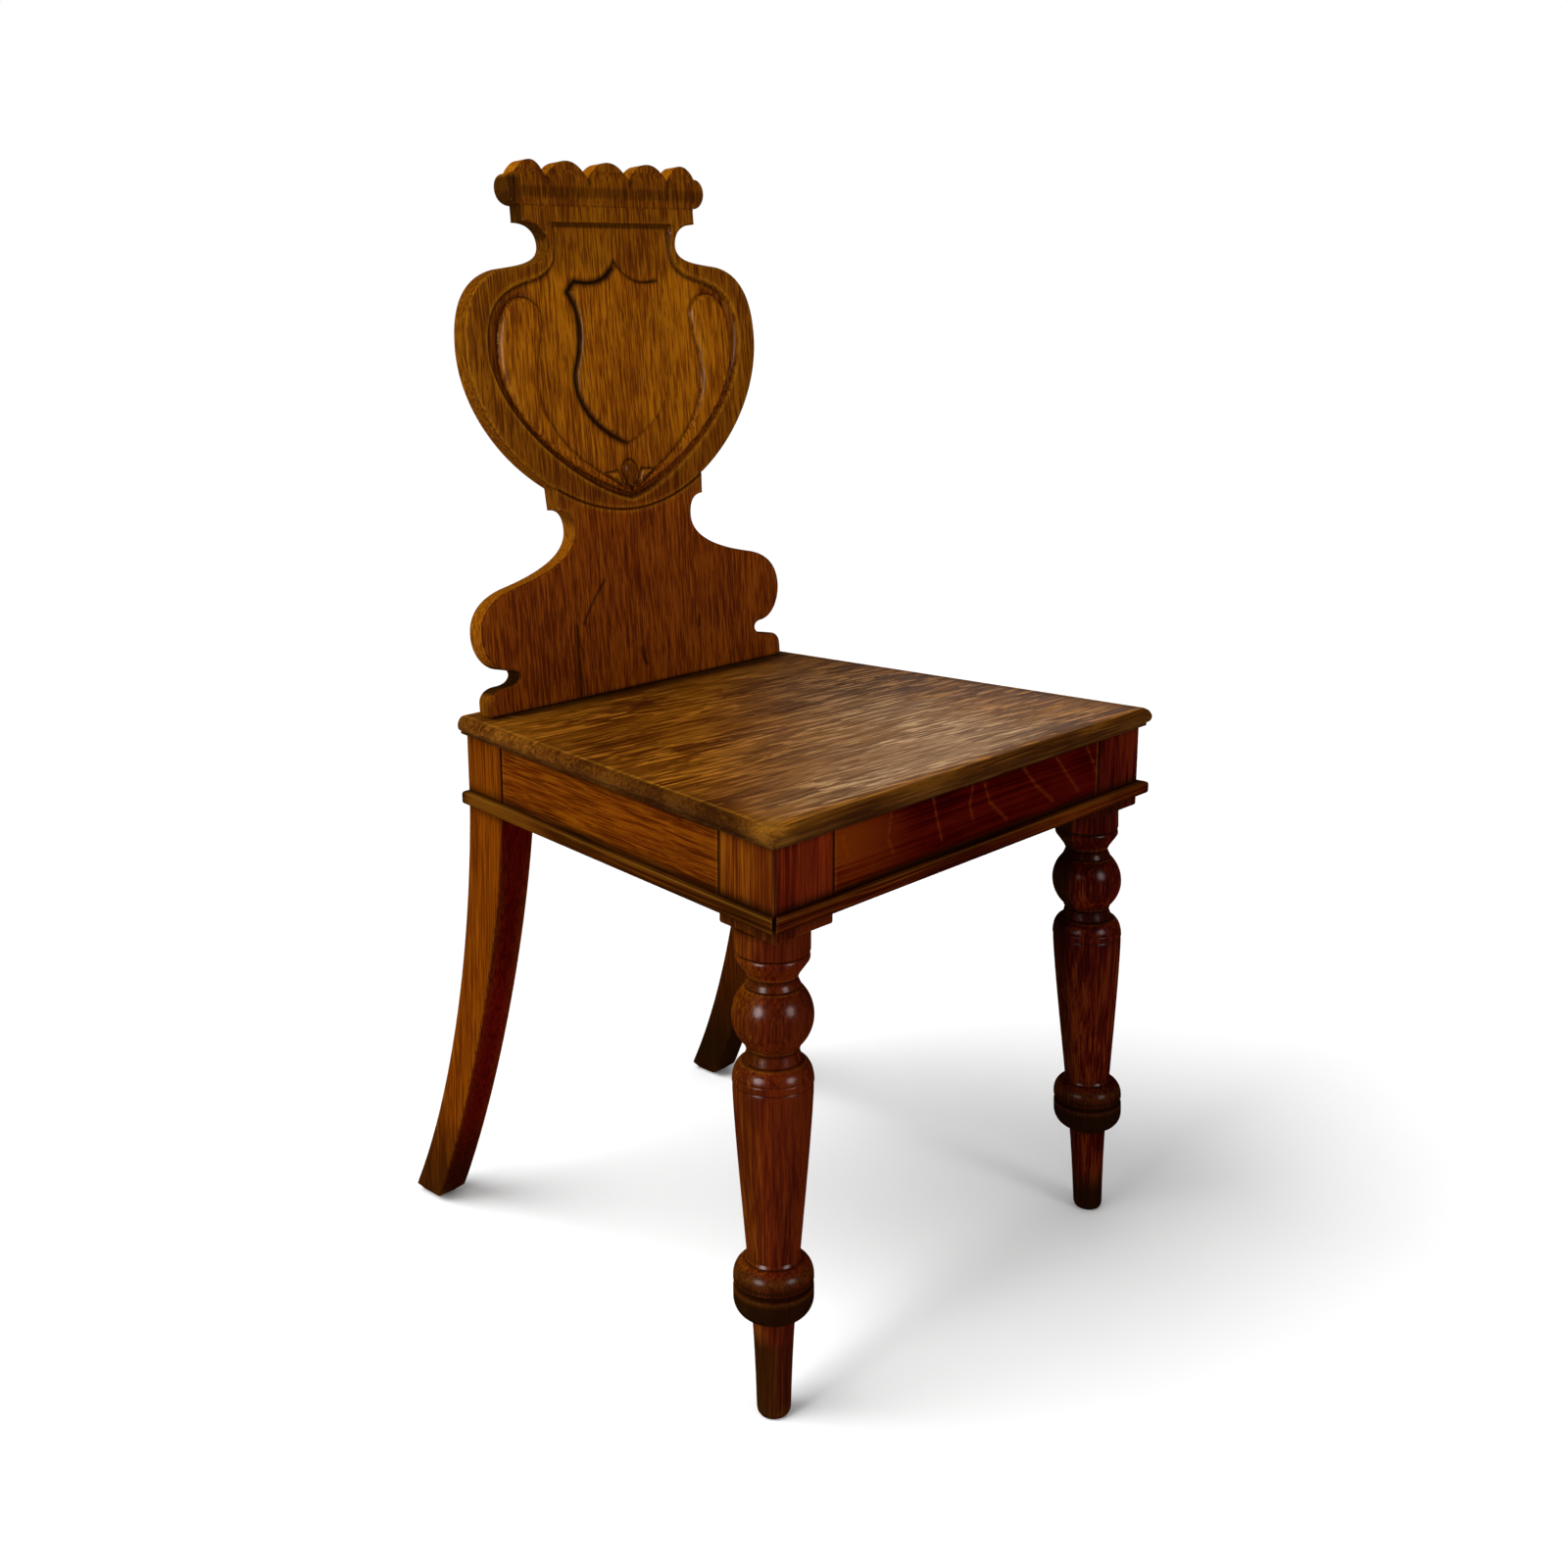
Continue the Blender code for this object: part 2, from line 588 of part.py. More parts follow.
def make_rear_leg(hand):
    """A sabre leg whose block is planed flush with the apron's side."""
    word = hand_name(hand)
    foot_rear = APRON_DEPTH + REAR_LEG_KICK
    front_edge = sabre_edge(REAR_BLOCK_FRONT, foot_rear - REAR_FOOT_DEPTH, (0.11, 0.67), (0.54, 0.27))
    rear_edge = sabre_edge(APRON_DEPTH, foot_rear, (0.03, 0.61), (0.45, 0.24))
    front_edge.insert(0, (REAR_BLOCK_FRONT, RAIL_TOP))
    rear_edge.insert(0, (APRON_DEPTH, RAIL_TOP))
    foot_inner = REAR_FOOT_SPREAD / 2 - REAR_FOOT_WIDTH
    rings = []
    for (front, low), (rear, high) in zip(front_edge, rear_edge):
        share = 1 - min(low / RAIL_BOTTOM, 1)
        outer_front = side(REAR_BLOCK_FRONT) * (1 - share) + REAR_FOOT_SPREAD / 2 * share
        outer_rear = side(APRON_DEPTH) * (1 - share) + REAR_FOOT_SPREAD / 2 * share
        inner = REAR_BLOCK_INNER * (1 - share) + foot_inner * share
        corners = [(outer_front, front, low), (outer_rear, rear, high)]
        corners += [(inner, rear, high), (inner, front, low)]
        rings.append([at(hand * x, depth, height) for x, depth, height in corners])
    leg = add(f"rear_leg_{word}", loft(rings), OAK)
    shape(leg, "DIFFERENCE", side_tenon(hand, False, JOINT_GAP), "side_mortise")
    shape(leg, "DIFFERENCE", back_tenon(hand, JOINT_GAP), "back_mortise")


def moulding_profile():
    """Projection and height round the bead, from its lower back corner."""
    half = MOULDING_HEIGHT / 2
    bead = [(JOINT_GAP, RAIL_BOTTOM)]
    for degrees in range(-75, 76, 25):
        angle = math.radians(degrees)
        out = JOINT_GAP + (MOULDING_PROJECTION - JOINT_GAP) * math.cos(angle)
        bead.append((out, RAIL_BOTTOM + half + half * math.sin(angle)))
    bead.append((JOINT_GAP, RAIL_BOTTOM + MOULDING_HEIGHT))
    return bead


def mitre_x(out):
    return inside(-out, -out)


def make_mouldings():
    """A bead along the foot of the apron, mitred at the two front corners."""
    profile = moulding_profile()
    ends = []
    for hand in (-1, 1):
        ends.append([at(hand * (mitre_x(out) - MITRE_GAP), -out, height) for out, height in profile])
    add("apron_moulding_front", loft(ends), OAK, smooth=True)
    for hand in (1, -1):
        front = []
        for out, height in profile:
            start = MITRE_GAP - out
            front.append(at(hand * inside(start, -out), start, height))
        rear = [at(hand * inside(APRON_DEPTH, -out), APRON_DEPTH, height) for out, height in profile]
        add(f"apron_moulding_{hand_name(hand)}", loft([front, rear]), OAK, smooth=True)


def make_brace(front, hand):
    """A corner block screwed to two rails and up into the seat."""
    place = f"{end_name(front)}_{hand_name(hand)}"
    plan = handed(brace_plan(front), hand)
    brace = add(f"corner_block_{place}", prism(plan, RAIL_TOP - BRACE_HEIGHT, RAIL_TOP), OAK_HIDDEN, 0.6)
    for use, (seat, direction) in brace_screws(front, hand).items():
        shape(brace, "DIFFERENCE", screw_hole(seat, direction), f"{use}_hole")
        name = f"seat_screw_{place}" if use == "seat" else f"block_screw_{use}_{place}"
        screw(name, seat, direction)


def peg_solid(hand, gap=0.0):
    """A peg through the back rail and the back board's tenon, from the inner face."""
    length = BACK_RAIL_THICKNESS - PEG_END_WALL
    start = at(hand * seat_tenon_middle(), BACK_RAIL_FRONT, PEG_HEIGHT)
    radius = PEG_RADIUS + gap
    first = -OVERCUT if gap else 0.0
    return rod(start, Vector((0, 1, 0)), [(radius, first), (radius, length + gap)])


# The back board, drawn from its right half upwards

def back_matrix():
    """From the board's own axes to the chair: x, depth through the board, height up the board."""
    return Matrix.Translation(at(0, BACK_SETBACK, BACK_BASE)) @ Matrix.Rotation(-BACK_RAKE, 4, "X")


def cartouche_low_curve():
    """The lower right quarter of the cartouche, from the collar out to its widest point.

    With these handles the curve's width is half * (3 t - t ** 3) / 2, which the sine solves for
    the share t where it leaves the collar.
    """
    skip = 2 * math.sin(math.asin(COLLAR_HALF / CARTOUCHE_HALF) / 3)
    quarter = (
        (0, CARTOUCHE_LOW),
        (CARTOUCHE_HALF / 2, CARTOUCHE_LOW),
        (CARTOUCHE_HALF, (CARTOUCHE_MID + CARTOUCHE_LOW) / 2),
        (CARTOUCHE_HALF, CARTOUCHE_MID),
    )
    return bezier(*quarter, CURVE_STEPS, skip)


def back_outline():
    notch_low = PLINTH_HEIGHT
    notch_high = PLINTH_HEIGHT + NOTCH_HEIGHT
    notch_mouth = NOTCH_HALF + NOTCH_HEIGHT * 0.7
    notch_pull = NOTCH_HALF - NOTCH_HEIGHT * 0.3
    half = [(PLINTH_HALF, 0), (PLINTH_HALF, PLINTH_HEIGHT * 0.45)]
    half += bezier(
        half[-1],
        (PLINTH_HALF, PLINTH_HEIGHT * 0.8),
        (PLINTH_HALF - PLINTH_HEIGHT * 0.25, notch_low),
        (notch_mouth + NOTCH_HEIGHT * 0.4, notch_low),
        4,
    )
    half += bezier(
        half[-1], (notch_pull, notch_low), (notch_pull, notch_high), (notch_mouth, notch_high), 6
    )
    half += bezier(
        half[-1],
        (notch_mouth + (SHOULDER_HALF - notch_mouth) * 0.6, notch_high + NOTCH_HEIGHT * 0.1),
        (SHOULDER_HALF, SHOULDER_MID - (SHOULDER_MID - notch_high) * 0.5),
        (SHOULDER_HALF, SHOULDER_MID),
        8,
    )
    sweep = SHOULDER_TOP - SHOULDER_MID
    shoulder_end = (SHOULDER_HALF - sweep, SHOULDER_TOP)
    half += bezier(
        half[-1],
        (SHOULDER_HALF, SHOULDER_MID + sweep * 0.55),
        (SHOULDER_HALF - sweep * 0.4, SHOULDER_TOP - sweep * 0.14),
        shoulder_end,
        8,
    )
    half += bezier(
        half[-1],
        (shoulder_end[0] - sweep, SHOULDER_TOP + sweep * 0.2),
        (WAIST_HALF, WAIST_MID - (WAIST_MID - SHOULDER_TOP) * 0.55),
        (WAIST_HALF, WAIST_MID),
    )
    half += bezier(
        half[-1],
        (WAIST_HALF, WAIST_MID + (COLLAR_LOW - WAIST_MID) * 0.55),
        (WAIST_HALF + (COLLAR_HALF - WAIST_HALF) * 0.25, COLLAR_LOW),
        (COLLAR_HALF, COLLAR_LOW),
        6,
    )
    half += cartouche_low_curve()
    rise = CARTOUCHE_TOP - CARTOUCHE_MID
    brow = (NECK_HALF + (CARTOUCHE_HALF - NECK_HALF) * 0.53, CARTOUCHE_TOP)
    half += bezier(
        half[-1],
        (CARTOUCHE_HALF, CARTOUCHE_MID + rise * 0.55),
        (brow[0] + (CARTOUCHE_HALF - brow[0]) * 0.66, CARTOUCHE_TOP - rise * 0.1),
        brow,
    )
    half += bezier(
        half[-1],
        (NECK_HALF + (brow[0] - NECK_HALF) * 0.54, CARTOUCHE_TOP + rise * 0.05),
        (NECK_HALF, CARTOUCHE_TOP + (NECK_MID - CARTOUCHE_TOP) * 0.19),
        (NECK_HALF, NECK_MID),
        8,
    )
    half += bezier(
        half[-1],
        (NECK_HALF, NECK_MID + (FILLET_LOW - NECK_MID) * 0.55),
        (NECK_HALF + (FILLET_HALF - NECK_HALF) * 0.31, FILLET_LOW),
        (FILLET_HALF, FILLET_LOW),
        6,
    )
    half += [(FILLET_HALF, FILLET_TOP)]
    pull = (8 * ROLL_HALF - FILLET_HALF - CREST_HALF) / 6
    half += bezier(half[-1], (pull, FILLET_TOP), (pull, ROLL_TOP), (CREST_HALF, ROLL_TOP), 8)
    return half + crest_lobes()


def crest_lobes():
    """The scalloped top edge from the end of the roll in to the centre line."""
    ends = [CREST_HALF, LOBE_WIDTH * 1.5, LOBE_WIDTH * 0.5, -LOBE_WIDTH * 0.5]
    points = []
    for outer, inner in zip(ends, ends[1:]):
        for step in range(1, LOBE_STEPS + 1):
            x = outer + (inner - outer) * step / LOBE_STEPS
            across = 2 * (x - inner) / (outer - inner) - 1
            low = ROLL_TOP if outer == CREST_HALF and across > 0 else LOBE_VALLEY
            rise = (LOBE_TOP - low) * (1 - abs(across) ** LOBE_ROUNDNESS)
            if x > -1e-6:
                points.append((max(x, 0.0), low + rise))
    return points


def ground_outline():
    """The sunk field inside the cartouche's rim, open upwards through the neck."""
    half_width = CARTOUCHE_HALF - RIM_WIDTH
    low = CARTOUCHE_LOW + RIM_FOOT
    rise = CARTOUCHE_MID - low
    shoulder = (NECK_HALF + RIM_WIDTH, CARTOUCHE_TOP - RIM_FOOT)
    neck = NECK_HALF - NECK_RIM
    half = [(0.0, low)]
    half += bezier(
        half[0],
        (half_width * 0.29, low + rise * 0.04),
        (half_width, CARTOUCHE_MID - rise * 0.47),
        (half_width, CARTOUCHE_MID),
        12,
    )
    upper = shoulder[1] - CARTOUCHE_MID
    half += bezier(
        half[-1],
        (half_width, CARTOUCHE_MID + upper * 0.58),
        (shoulder[0] + (half_width - shoulder[0]) * 0.68, shoulder[1] - upper * 0.13),
        shoulder,
        8,
    )
    half += bezier(
        half[-1],
        (neck + (shoulder[0] - neck) * 0.55, shoulder[1] + upper * 0.06),
        (neck, shoulder[1] + (NECK_MID - shoulder[1]) * 0.28),
        (neck, NECK_MID),
        6,
    )
    half.append((neck, FILLET_LOW - JOINT_GAP))
    return mirrored(half)


def figure(across, up):
    """A place on the carved figure, in half widths of the cartouche from its middle."""
    return across * CARTOUCHE_HALF, CARTOUCHE_MID + up * CARTOUCHE_HALF


def figure_curve(*corners, steps=8):
    return bezier(*[figure(*corner) for corner in corners], steps)


def shield_outline():
    """A raised shield with two scallops at the top and a pointed foot."""
    half = [figure(0, 0.417)]
    half += figure_curve((0, 0.417), (0.037, 0.343), (0.137, 0.280), (0.283, 0.318), steps=6)
    half.append(figure(0.336, 0.262))
    half += figure_curve((0.336, 0.262), (0.249, 0.168), (0.262, 0.006), (0.317, -0.125))
    half += figure_curve((0.317, -0.125), (0.355, -0.255), (0.249, -0.430), (0, -0.523))
    return mirrored(half)


def pod_outline(hand):
    """One of the two long leaves that curl down the sides to the foot of the shield."""
    points = figure_curve((0.642, 0.243), (0.748, 0.243), (0.810, 0.118), (0.807, -0.050))
    points += figure_curve((0.807, -0.050), (0.804, -0.318), (0.467, -0.629), (0.125, -0.745), steps=10)
    points += [figure(0.125, -0.725)]
    points += figure_curve((0.125, -0.725), (0.436, -0.592), (0.611, -0.318), (0.567, -0.118), steps=10)
    points += figure_curve((0.567, -0.118), (0.561, -0.006), (0.517, 0.044), (0.514, 0.131), steps=5)
    points += figure_curve((0.514, 0.131), (0.514, 0.193), (0.573, 0.243), (0.642, 0.243), steps=5)
    return [(hand * x, s) for x, s in points]


def make_back():
    """The shaped back board, with its base cut level, two tenons and the main carving."""
    outline = mirrored(back_outline())
    rings = []
    for depth in (0.0, BACK_THICKNESS):
        level = depth * math.tan(BACK_RAKE)
        rings.append([Vector((x, depth, max(s, level))) for x, s in outline])
    board = add("back_board", loft(rings), OAK, 0.40)
    place = back_matrix()
    board.location = place.to_translation()
    board.rotation_euler = place.to_euler()
    for hand in (1, -1):
        shape(board, "UNION", seat_tenon(hand), f"tenon_{hand_name(hand)}")
    shape(board, "DIFFERENCE", slab(ground_outline(), -OVERCUT, GROUND_DEPTH), "ground")
    root = GROUND_DEPTH + CARVING_ROOT
    shape(board, "UNION", slab(shield_outline(), 0.0, root), "shield")
    for hand in (1, -1):
        word = hand_name(hand)
        shape(board, "UNION", slab(pod_outline(hand), POD_SINK, root), f"pod_{word}")
        hole = peg_solid(hand, JOINT_GAP)
        hole.transform(place.inverted())
        shape(board, "DIFFERENCE", hole, f"peg_hole_{word}")
        add(f"back_peg_{word}", peg_solid(hand), OAK_HIDDEN, 0.6, smooth=True)


for old in list(bpy.data.objects):
    bpy.data.objects.remove(old, do_unlink=True)
CHAIR = bpy.data.objects.new("hall_chair", None)
bpy.context.scene.collection.objects.link(CHAIR)

make_seat()
make_rails()
make_mouldings()
make_back()
for hand in (1, -1):
    make_front_leg(hand)
    make_rear_leg(hand)
    for front in (True, False):
        make_brace(front, hand)
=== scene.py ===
"""Looks for the carved oak hall chair: finer meshes over its solids, oak materials and a pale studio."""

import math
from types import SimpleNamespace

import bmesh
import bpy
import numpy as np
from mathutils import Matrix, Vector, geometry


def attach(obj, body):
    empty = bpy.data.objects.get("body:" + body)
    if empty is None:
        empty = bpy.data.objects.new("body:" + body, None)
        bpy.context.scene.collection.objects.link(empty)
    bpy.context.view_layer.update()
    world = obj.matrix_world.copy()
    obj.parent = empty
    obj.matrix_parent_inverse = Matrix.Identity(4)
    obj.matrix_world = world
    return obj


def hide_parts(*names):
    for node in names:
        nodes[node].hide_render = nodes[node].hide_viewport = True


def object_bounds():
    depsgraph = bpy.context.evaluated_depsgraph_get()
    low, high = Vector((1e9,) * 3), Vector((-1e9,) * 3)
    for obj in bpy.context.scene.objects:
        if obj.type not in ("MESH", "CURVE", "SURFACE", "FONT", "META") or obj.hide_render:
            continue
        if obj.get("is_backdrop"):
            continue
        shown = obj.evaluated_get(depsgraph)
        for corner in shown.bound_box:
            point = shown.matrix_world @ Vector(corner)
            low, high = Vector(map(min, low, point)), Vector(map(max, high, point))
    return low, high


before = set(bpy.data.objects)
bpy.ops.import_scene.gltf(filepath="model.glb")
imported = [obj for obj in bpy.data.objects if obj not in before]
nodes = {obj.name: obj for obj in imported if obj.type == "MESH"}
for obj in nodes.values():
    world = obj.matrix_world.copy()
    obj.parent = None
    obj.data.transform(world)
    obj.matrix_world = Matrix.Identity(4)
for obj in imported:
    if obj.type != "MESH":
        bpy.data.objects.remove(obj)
cad_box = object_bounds()

# Sizes repeated from the part's source, in metres
FRONT_Y = -0.232
SEAT_HEIGHT = 0.446
SEAT_BOTTOM = 0.4315
RAIL_TOP = 0.4312
RAIL_BOTTOM = 0.3730
BLOCK_BOTTOM = 0.3632
APRON_HALF = 0.218
APRON_DEPTH = 0.383
APRON_TAPER = 0.088
SLOPE = APRON_TAPER / 2 / APRON_DEPTH
SPLAY = math.atan(SLOPE)
RAIL_THICKNESS = 0.022
FRONT_BLOCK = 0.058
REAR_BLOCK_FRONT = 0.332
REAR_BLOCK_INNER = 0.148
MOULDING_HEIGHT = 0.0105
MOULDING_PROJECTION = 0.007
GAP = 0.0003
BACK_RAKE = 0.086
BACK_THICKNESS = 0.017
BACK_SETBACK = 0.356
BACK_FOOT = Vector((0, FRONT_Y + BACK_SETBACK, SEAT_HEIGHT + GAP))
CARTOUCHE_HALF = 0.1605
CARTOUCHE_LOW = 0.152
CARTOUCHE_MID = 0.291
COLLAR_HALF = 0.082
FILLET_LOW = 0.389
FILLET_TOP = 0.402
ROLL_TOP = 0.427
CREST_HALF = 0.0985
LOBE_TOP = 0.4375
LOBE_VALLEY = 0.4235
LOBE_WIDTH = 0.0445
BEAD_TOP = RAIL_BOTTOM + MOULDING_HEIGHT
MITRE_OPEN = 0.0020
MITRE_CLOSED = 0.0007
SEAT_OVERHANG = 0.008
SEAT_REAR_OVERHANG = 0.001
NOSE_DEPTH = 0.0065
NOSE_FILLET_HEIGHT = 0.0025
NOSE_FILLET_SETBACK = 0.003
NOSE_BELLY_HEIGHT = 0.0067
FRONT_LEG_SPLAY = 0.010
COLLAR_RADIUS = 0.0262
OVOLO_ROUND = 0.0045
UPPER_NECK = (0.0172, 0.0192)
LOWER_NECK = (0.0182, 0.0202)
BALL_RADIUS = 0.0285
VASE_RADIUS = 0.0286
VASE_LENGTH = 0.015
TAPER_RADIUS = 0.0187
TAPER_SWELL = 0.0008
RING_RADIUS = 0.0286
RING_TOP = 0.1205
RING_SHOULDER = 0.0135
RING_GROOVE_HEIGHT = 0.102
RING_CUP_HEIGHT = 0.0915
TOE_TOP = 0.0775
TOE_RADIUS = 0.0158
TOE_WAIST_RADIUS = 0.0132
TOE_END_RADIUS = 0.0122
REAR_LEG_KICK = 0.089
REAR_FOOT_DEPTH = 0.034
REAR_FOOT_WIDTH = 0.028
REAR_FOOT_HALF = 0.184
SEAT_BELLY = SEAT_BOTTOM + NOSE_BELLY_HEIGHT

# Lengths and heights down a front leg's turning
COLLAR_LENGTH = 0.018
OVOLO_LENGTH = 0.0158
UPPER_NECK_LENGTH = 0.0087
LOWER_NECK_LENGTH = 0.0104
VASE_LINE_RISE = 0.0052
COLLAR_END = BLOCK_BOTTOM - COLLAR_LENGTH
OVOLO_END = COLLAR_END - OVOLO_LENGTH
BALL_TOP = OVOLO_END - UPPER_NECK_LENGTH
BALL_TURNS = (math.acos(UPPER_NECK[1] / BALL_RADIUS), -math.acos(LOWER_NECK[0] / BALL_RADIUS))
BALL_MID = BALL_TOP - BALL_RADIUS * math.sin(BALL_TURNS[0])
BALL_END = BALL_MID + BALL_RADIUS * math.sin(BALL_TURNS[1])
VASE_TOP = BALL_END - LOWER_NECK_LENGTH
VASE_END = VASE_TOP - VASE_LENGTH
VASE_LINE = VASE_END + VASE_LINE_RISE

# Half width of the dark line in a joint, the farthest distance that is followed, and the photo's right
JOINT_LINE = 0.0011
FAR = 0.030
PHOTO_RIGHT = (0.683, -0.731)
HANDS = ((-1, "left"), (1, "right"))


# Numbers and curves

def curve(*corners, step=0.0014, skip=0.0):
    """Points along a cubic curve, without its first one."""
    p = np.array(corners, float)
    length = np.linalg.norm(np.diff(p, axis=0), axis=1).sum() * (1 - skip)
    count = max(3, int(length / step))
    t = (skip + (1 - skip) * np.arange(1, count + 1) / count)[:, None]
    return (1 - t) ** 3 * p[0] + 3 * t * (1 - t) ** 2 * p[1] + 3 * t * t * (1 - t) * p[2] + t ** 3 * p[3]


def line(a, b, step=0.0014):
    a, b = np.array(a, float), np.array(b, float)
    count = max(1, int(np.linalg.norm(b - a) / step))
    t = (np.arange(1, count + 1) / count)[:, None]
    return a + (b - a) * t


def path(start, *pieces):
    """Joins curve corners and line ends, each beginning where the last one stopped."""
    points = [np.array([start], float)]
    for ends in pieces:
        begin = points[-1][-1]
        points.append(line(begin, ends[0]) if len(ends) == 1 else curve(begin, *ends))
    return np.concatenate(points)


def mirrored(half):
    left = half[::-1] * (-1, 1)
    return np.concatenate([half, left[np.abs(left[:, 0]) > 1e-6]])


def distance(points, chain, closed=True):
    """Distance from each point to a chain of points, kept at FAR beyond that."""
    near = np.all((points > chain.min(0) - FAR) & (points < chain.max(0) + FAR), axis=1)
    close = points[near]
    a = chain
    b = np.roll(chain, -1, axis=0)
    if not closed:
        a, b = a[:-1], b[:-1]
    best = np.full(len(close), FAR ** 2)
    for start, end in zip(a, b):
        along = end - start
        share = ((close - start) @ along) / max(along @ along, 1e-18)
        gap = close - start - np.clip(share, 0, 1)[:, None] * along
        best = np.minimum(best, (gap * gap).sum(1))
    found = np.full(len(points), FAR)
    found[near] = np.sqrt(best)
    return found


def inside(points, chain):
    x, y = points[:, 0], points[:, 1]
    odd = np.zeros(len(points), bool)
    for (x0, y0), (x1, y1) in zip(chain, np.roll(chain, -1, axis=0)):
        if y0 != y1:
            odd ^= ((y0 > y) != (y1 > y)) & (x < (x1 - x0) * (y - y0) / (y1 - y0) + x0)
    return odd


def signed(points, chain):
    """Distance to a closed chain, positive inside it."""
    return np.where(inside(points, chain), 1, -1) * distance(points, chain)


def quarter(u):
    """A quarter-round: steep at 0, level from 1 on."""
    return np.sqrt(np.clip(1 - (1 - np.clip(u, 0, 1)) ** 2, 0, 1))


def ease(u):
    u = np.clip(u, 0, 1)
    return u * u * (3 - 2 * u)


def rising(value, start, run):
    """0 up to start, and 1 from run past it."""
    return ease((value - start) / run)


def falling(value, end, run):
    """1 until run before end, and 0 from there on."""
    return ease((end - value) / run)


def bell(gap, width):
    """1 where gap is 0, fading on both sides."""
    return np.exp(-(gap / width) ** 2)


def strongest(*amounts):
    return np.maximum.reduce(amounts)


def side(depth):
    return APRON_HALF - SLOPE * depth


# Meshes

def piece(name, points, faces, material, covers, slot, sharp=32, **attributes):
    """An object in place of some of the part's solids, with point attributes for its materials."""
    mesh = bpy.data.meshes.new(name)
    mesh.from_pydata([tuple(p) for p in points], [], [tuple(f) for f in faces])
    bm = bmesh.new()
    bm.from_mesh(mesh)
    bmesh.ops.recalc_face_normals(bm, faces=bm.faces)
    bm.to_mesh(mesh)
    bm.free()
    for label, values in attributes.items():
        made = mesh.attributes.new(label, "FLOAT", "POINT")
        made.data.foreach_set("value", np.asarray(values, np.float32))
    mesh.shade_smooth()
    mesh.set_sharp_from_angle(angle=math.radians(sharp))
    mesh.materials.append(material)
    obj = bpy.data.objects.new(name, mesh)
    bpy.context.scene.collection.objects.link(obj)
    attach(obj, "root")
    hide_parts(*covers)


def level_ring(flat, height):
    return np.column_stack([flat, np.full(len(flat), height)])


def skin(rings):
    """Points and faces of a closed tube through rings of equal length."""
    count = len(rings[0])
    points = np.concatenate(rings)
    faces = []
    for r in range(len(rings) - 1):
        for i in range(count):
            j = (i + 1) % count
            faces.append((r * count + i, r * count + j, (r + 1) * count + j, (r + 1) * count + i))
    faces.append(range(count))
    faces.append(range((len(rings) - 1) * count, len(rings) * count))
    return points, faces


# Node materials

class Graph:
    """Short names for the few nodes that the materials use."""

    def __init__(self, name):
        self.material = bpy.data.materials.new(name)
        self.material.use_nodes = True
        self.tree = self.material.node_tree
        self.shader = self.tree.nodes["Principled BSDF"]

    def put(self, socket, value):
        if isinstance(value, bpy.types.NodeSocket):
            self.tree.links.new(value, socket)
        else:
            socket.default_value = value

    def node(self, kind, **settings):
        made = self.tree.nodes.new(kind)
        for key, value in settings.items():
            setattr(made, key, value)
        return made

    def math(self, operation, a, b=0.0, clamp=False):
        made = self.node("ShaderNodeMath", operation=operation, use_clamp=clamp)
        self.put(made.inputs[0], a)
        self.put(made.inputs[1], b)
        return made.outputs[0]

    def span(self, value, low, high, to_low=0.0, to_high=1.0):
        made = self.node("ShaderNodeMapRange", interpolation_type="SMOOTHSTEP")
        for socket, number in zip(made.inputs, (value, low, high, to_low, to_high)):
            self.put(socket, number)
        return made.outputs[0]

    def blend(self, share, a, b, kind="MIX"):
        made = self.node("ShaderNodeMix", data_type="RGBA", blend_type=kind, clamp_factor=True)
        self.put(made.inputs[0], share)
        self.put(made.inputs[6], a)
        self.put(made.inputs[7], b)
        return made.outputs[2]

    def place(self, vector, scale=(1, 1, 1), turn=(0, 0, 0), move=(0, 0, 0)):
        made = self.node("ShaderNodeMapping")
        self.put(made.inputs["Vector"], vector)
        made.inputs["Scale"].default_value = scale
        made.inputs["Rotation"].default_value = turn
        made.inputs["Location"].default_value = move
        return made.outputs[0]

    def noise(self, vector, scale, detail=2.0, rough=0.5, twist=0.0):
        made = self.node("ShaderNodeTexNoise")
        self.put(made.inputs["Vector"], self.place(vector, scale))
        made.inputs["Scale"].default_value = 1.0
        made.inputs["Detail"].default_value = detail
        made.inputs["Roughness"].default_value = rough
        made.inputs["Distortion"].default_value = twist
        return made.outputs["Fac"]

    def value(self, label):
        made = self.node("ShaderNodeAttribute", attribute_name=label)
        return made.outputs["Fac"]


def colour(r, g, b):
    return (r, g, b, 1.0)


def scaled(tone, factors, lift=(0, 0, 0)):
    return colour(*(part * factor + more for part, factor, more in zip(tone, factors, lift)))


RED_TINT = colour(0.60, 0.38, 0.80)
# Rubbed bare grey wood, which also paints the seat's sheen
BARE_GREY = colour(0.255, 0.138, 0.062)
BARE_FLECK = colour(0.430, 0.262, 0.125)
# Dark colour of dirt, which also paints shade and shadow
GRIME = colour(0.0060, 0.0026, 0.0006)
WAX_TINT = colour(1.0, 0.42, 0.07)


def grain_along(g, turn, seed):
    """Coordinates whose X follows the grain, which wanders a little."""
    where = g.node("ShaderNodeTexCoord").outputs["Object"]
    straight = g.place(where, turn=turn, move=(seed, seed * 0.7, seed * 0.3))
    bent = g.node("ShaderNodeVectorMath", operation="MULTIPLY_ADD")
    g.put(bent.inputs[0], g.noise(straight, (5, 22, 22), 2))
    bent.inputs[1].default_value = (0, 0.005, 0.005)
    g.put(bent.inputs[2], straight)
    return bent.outputs[0]


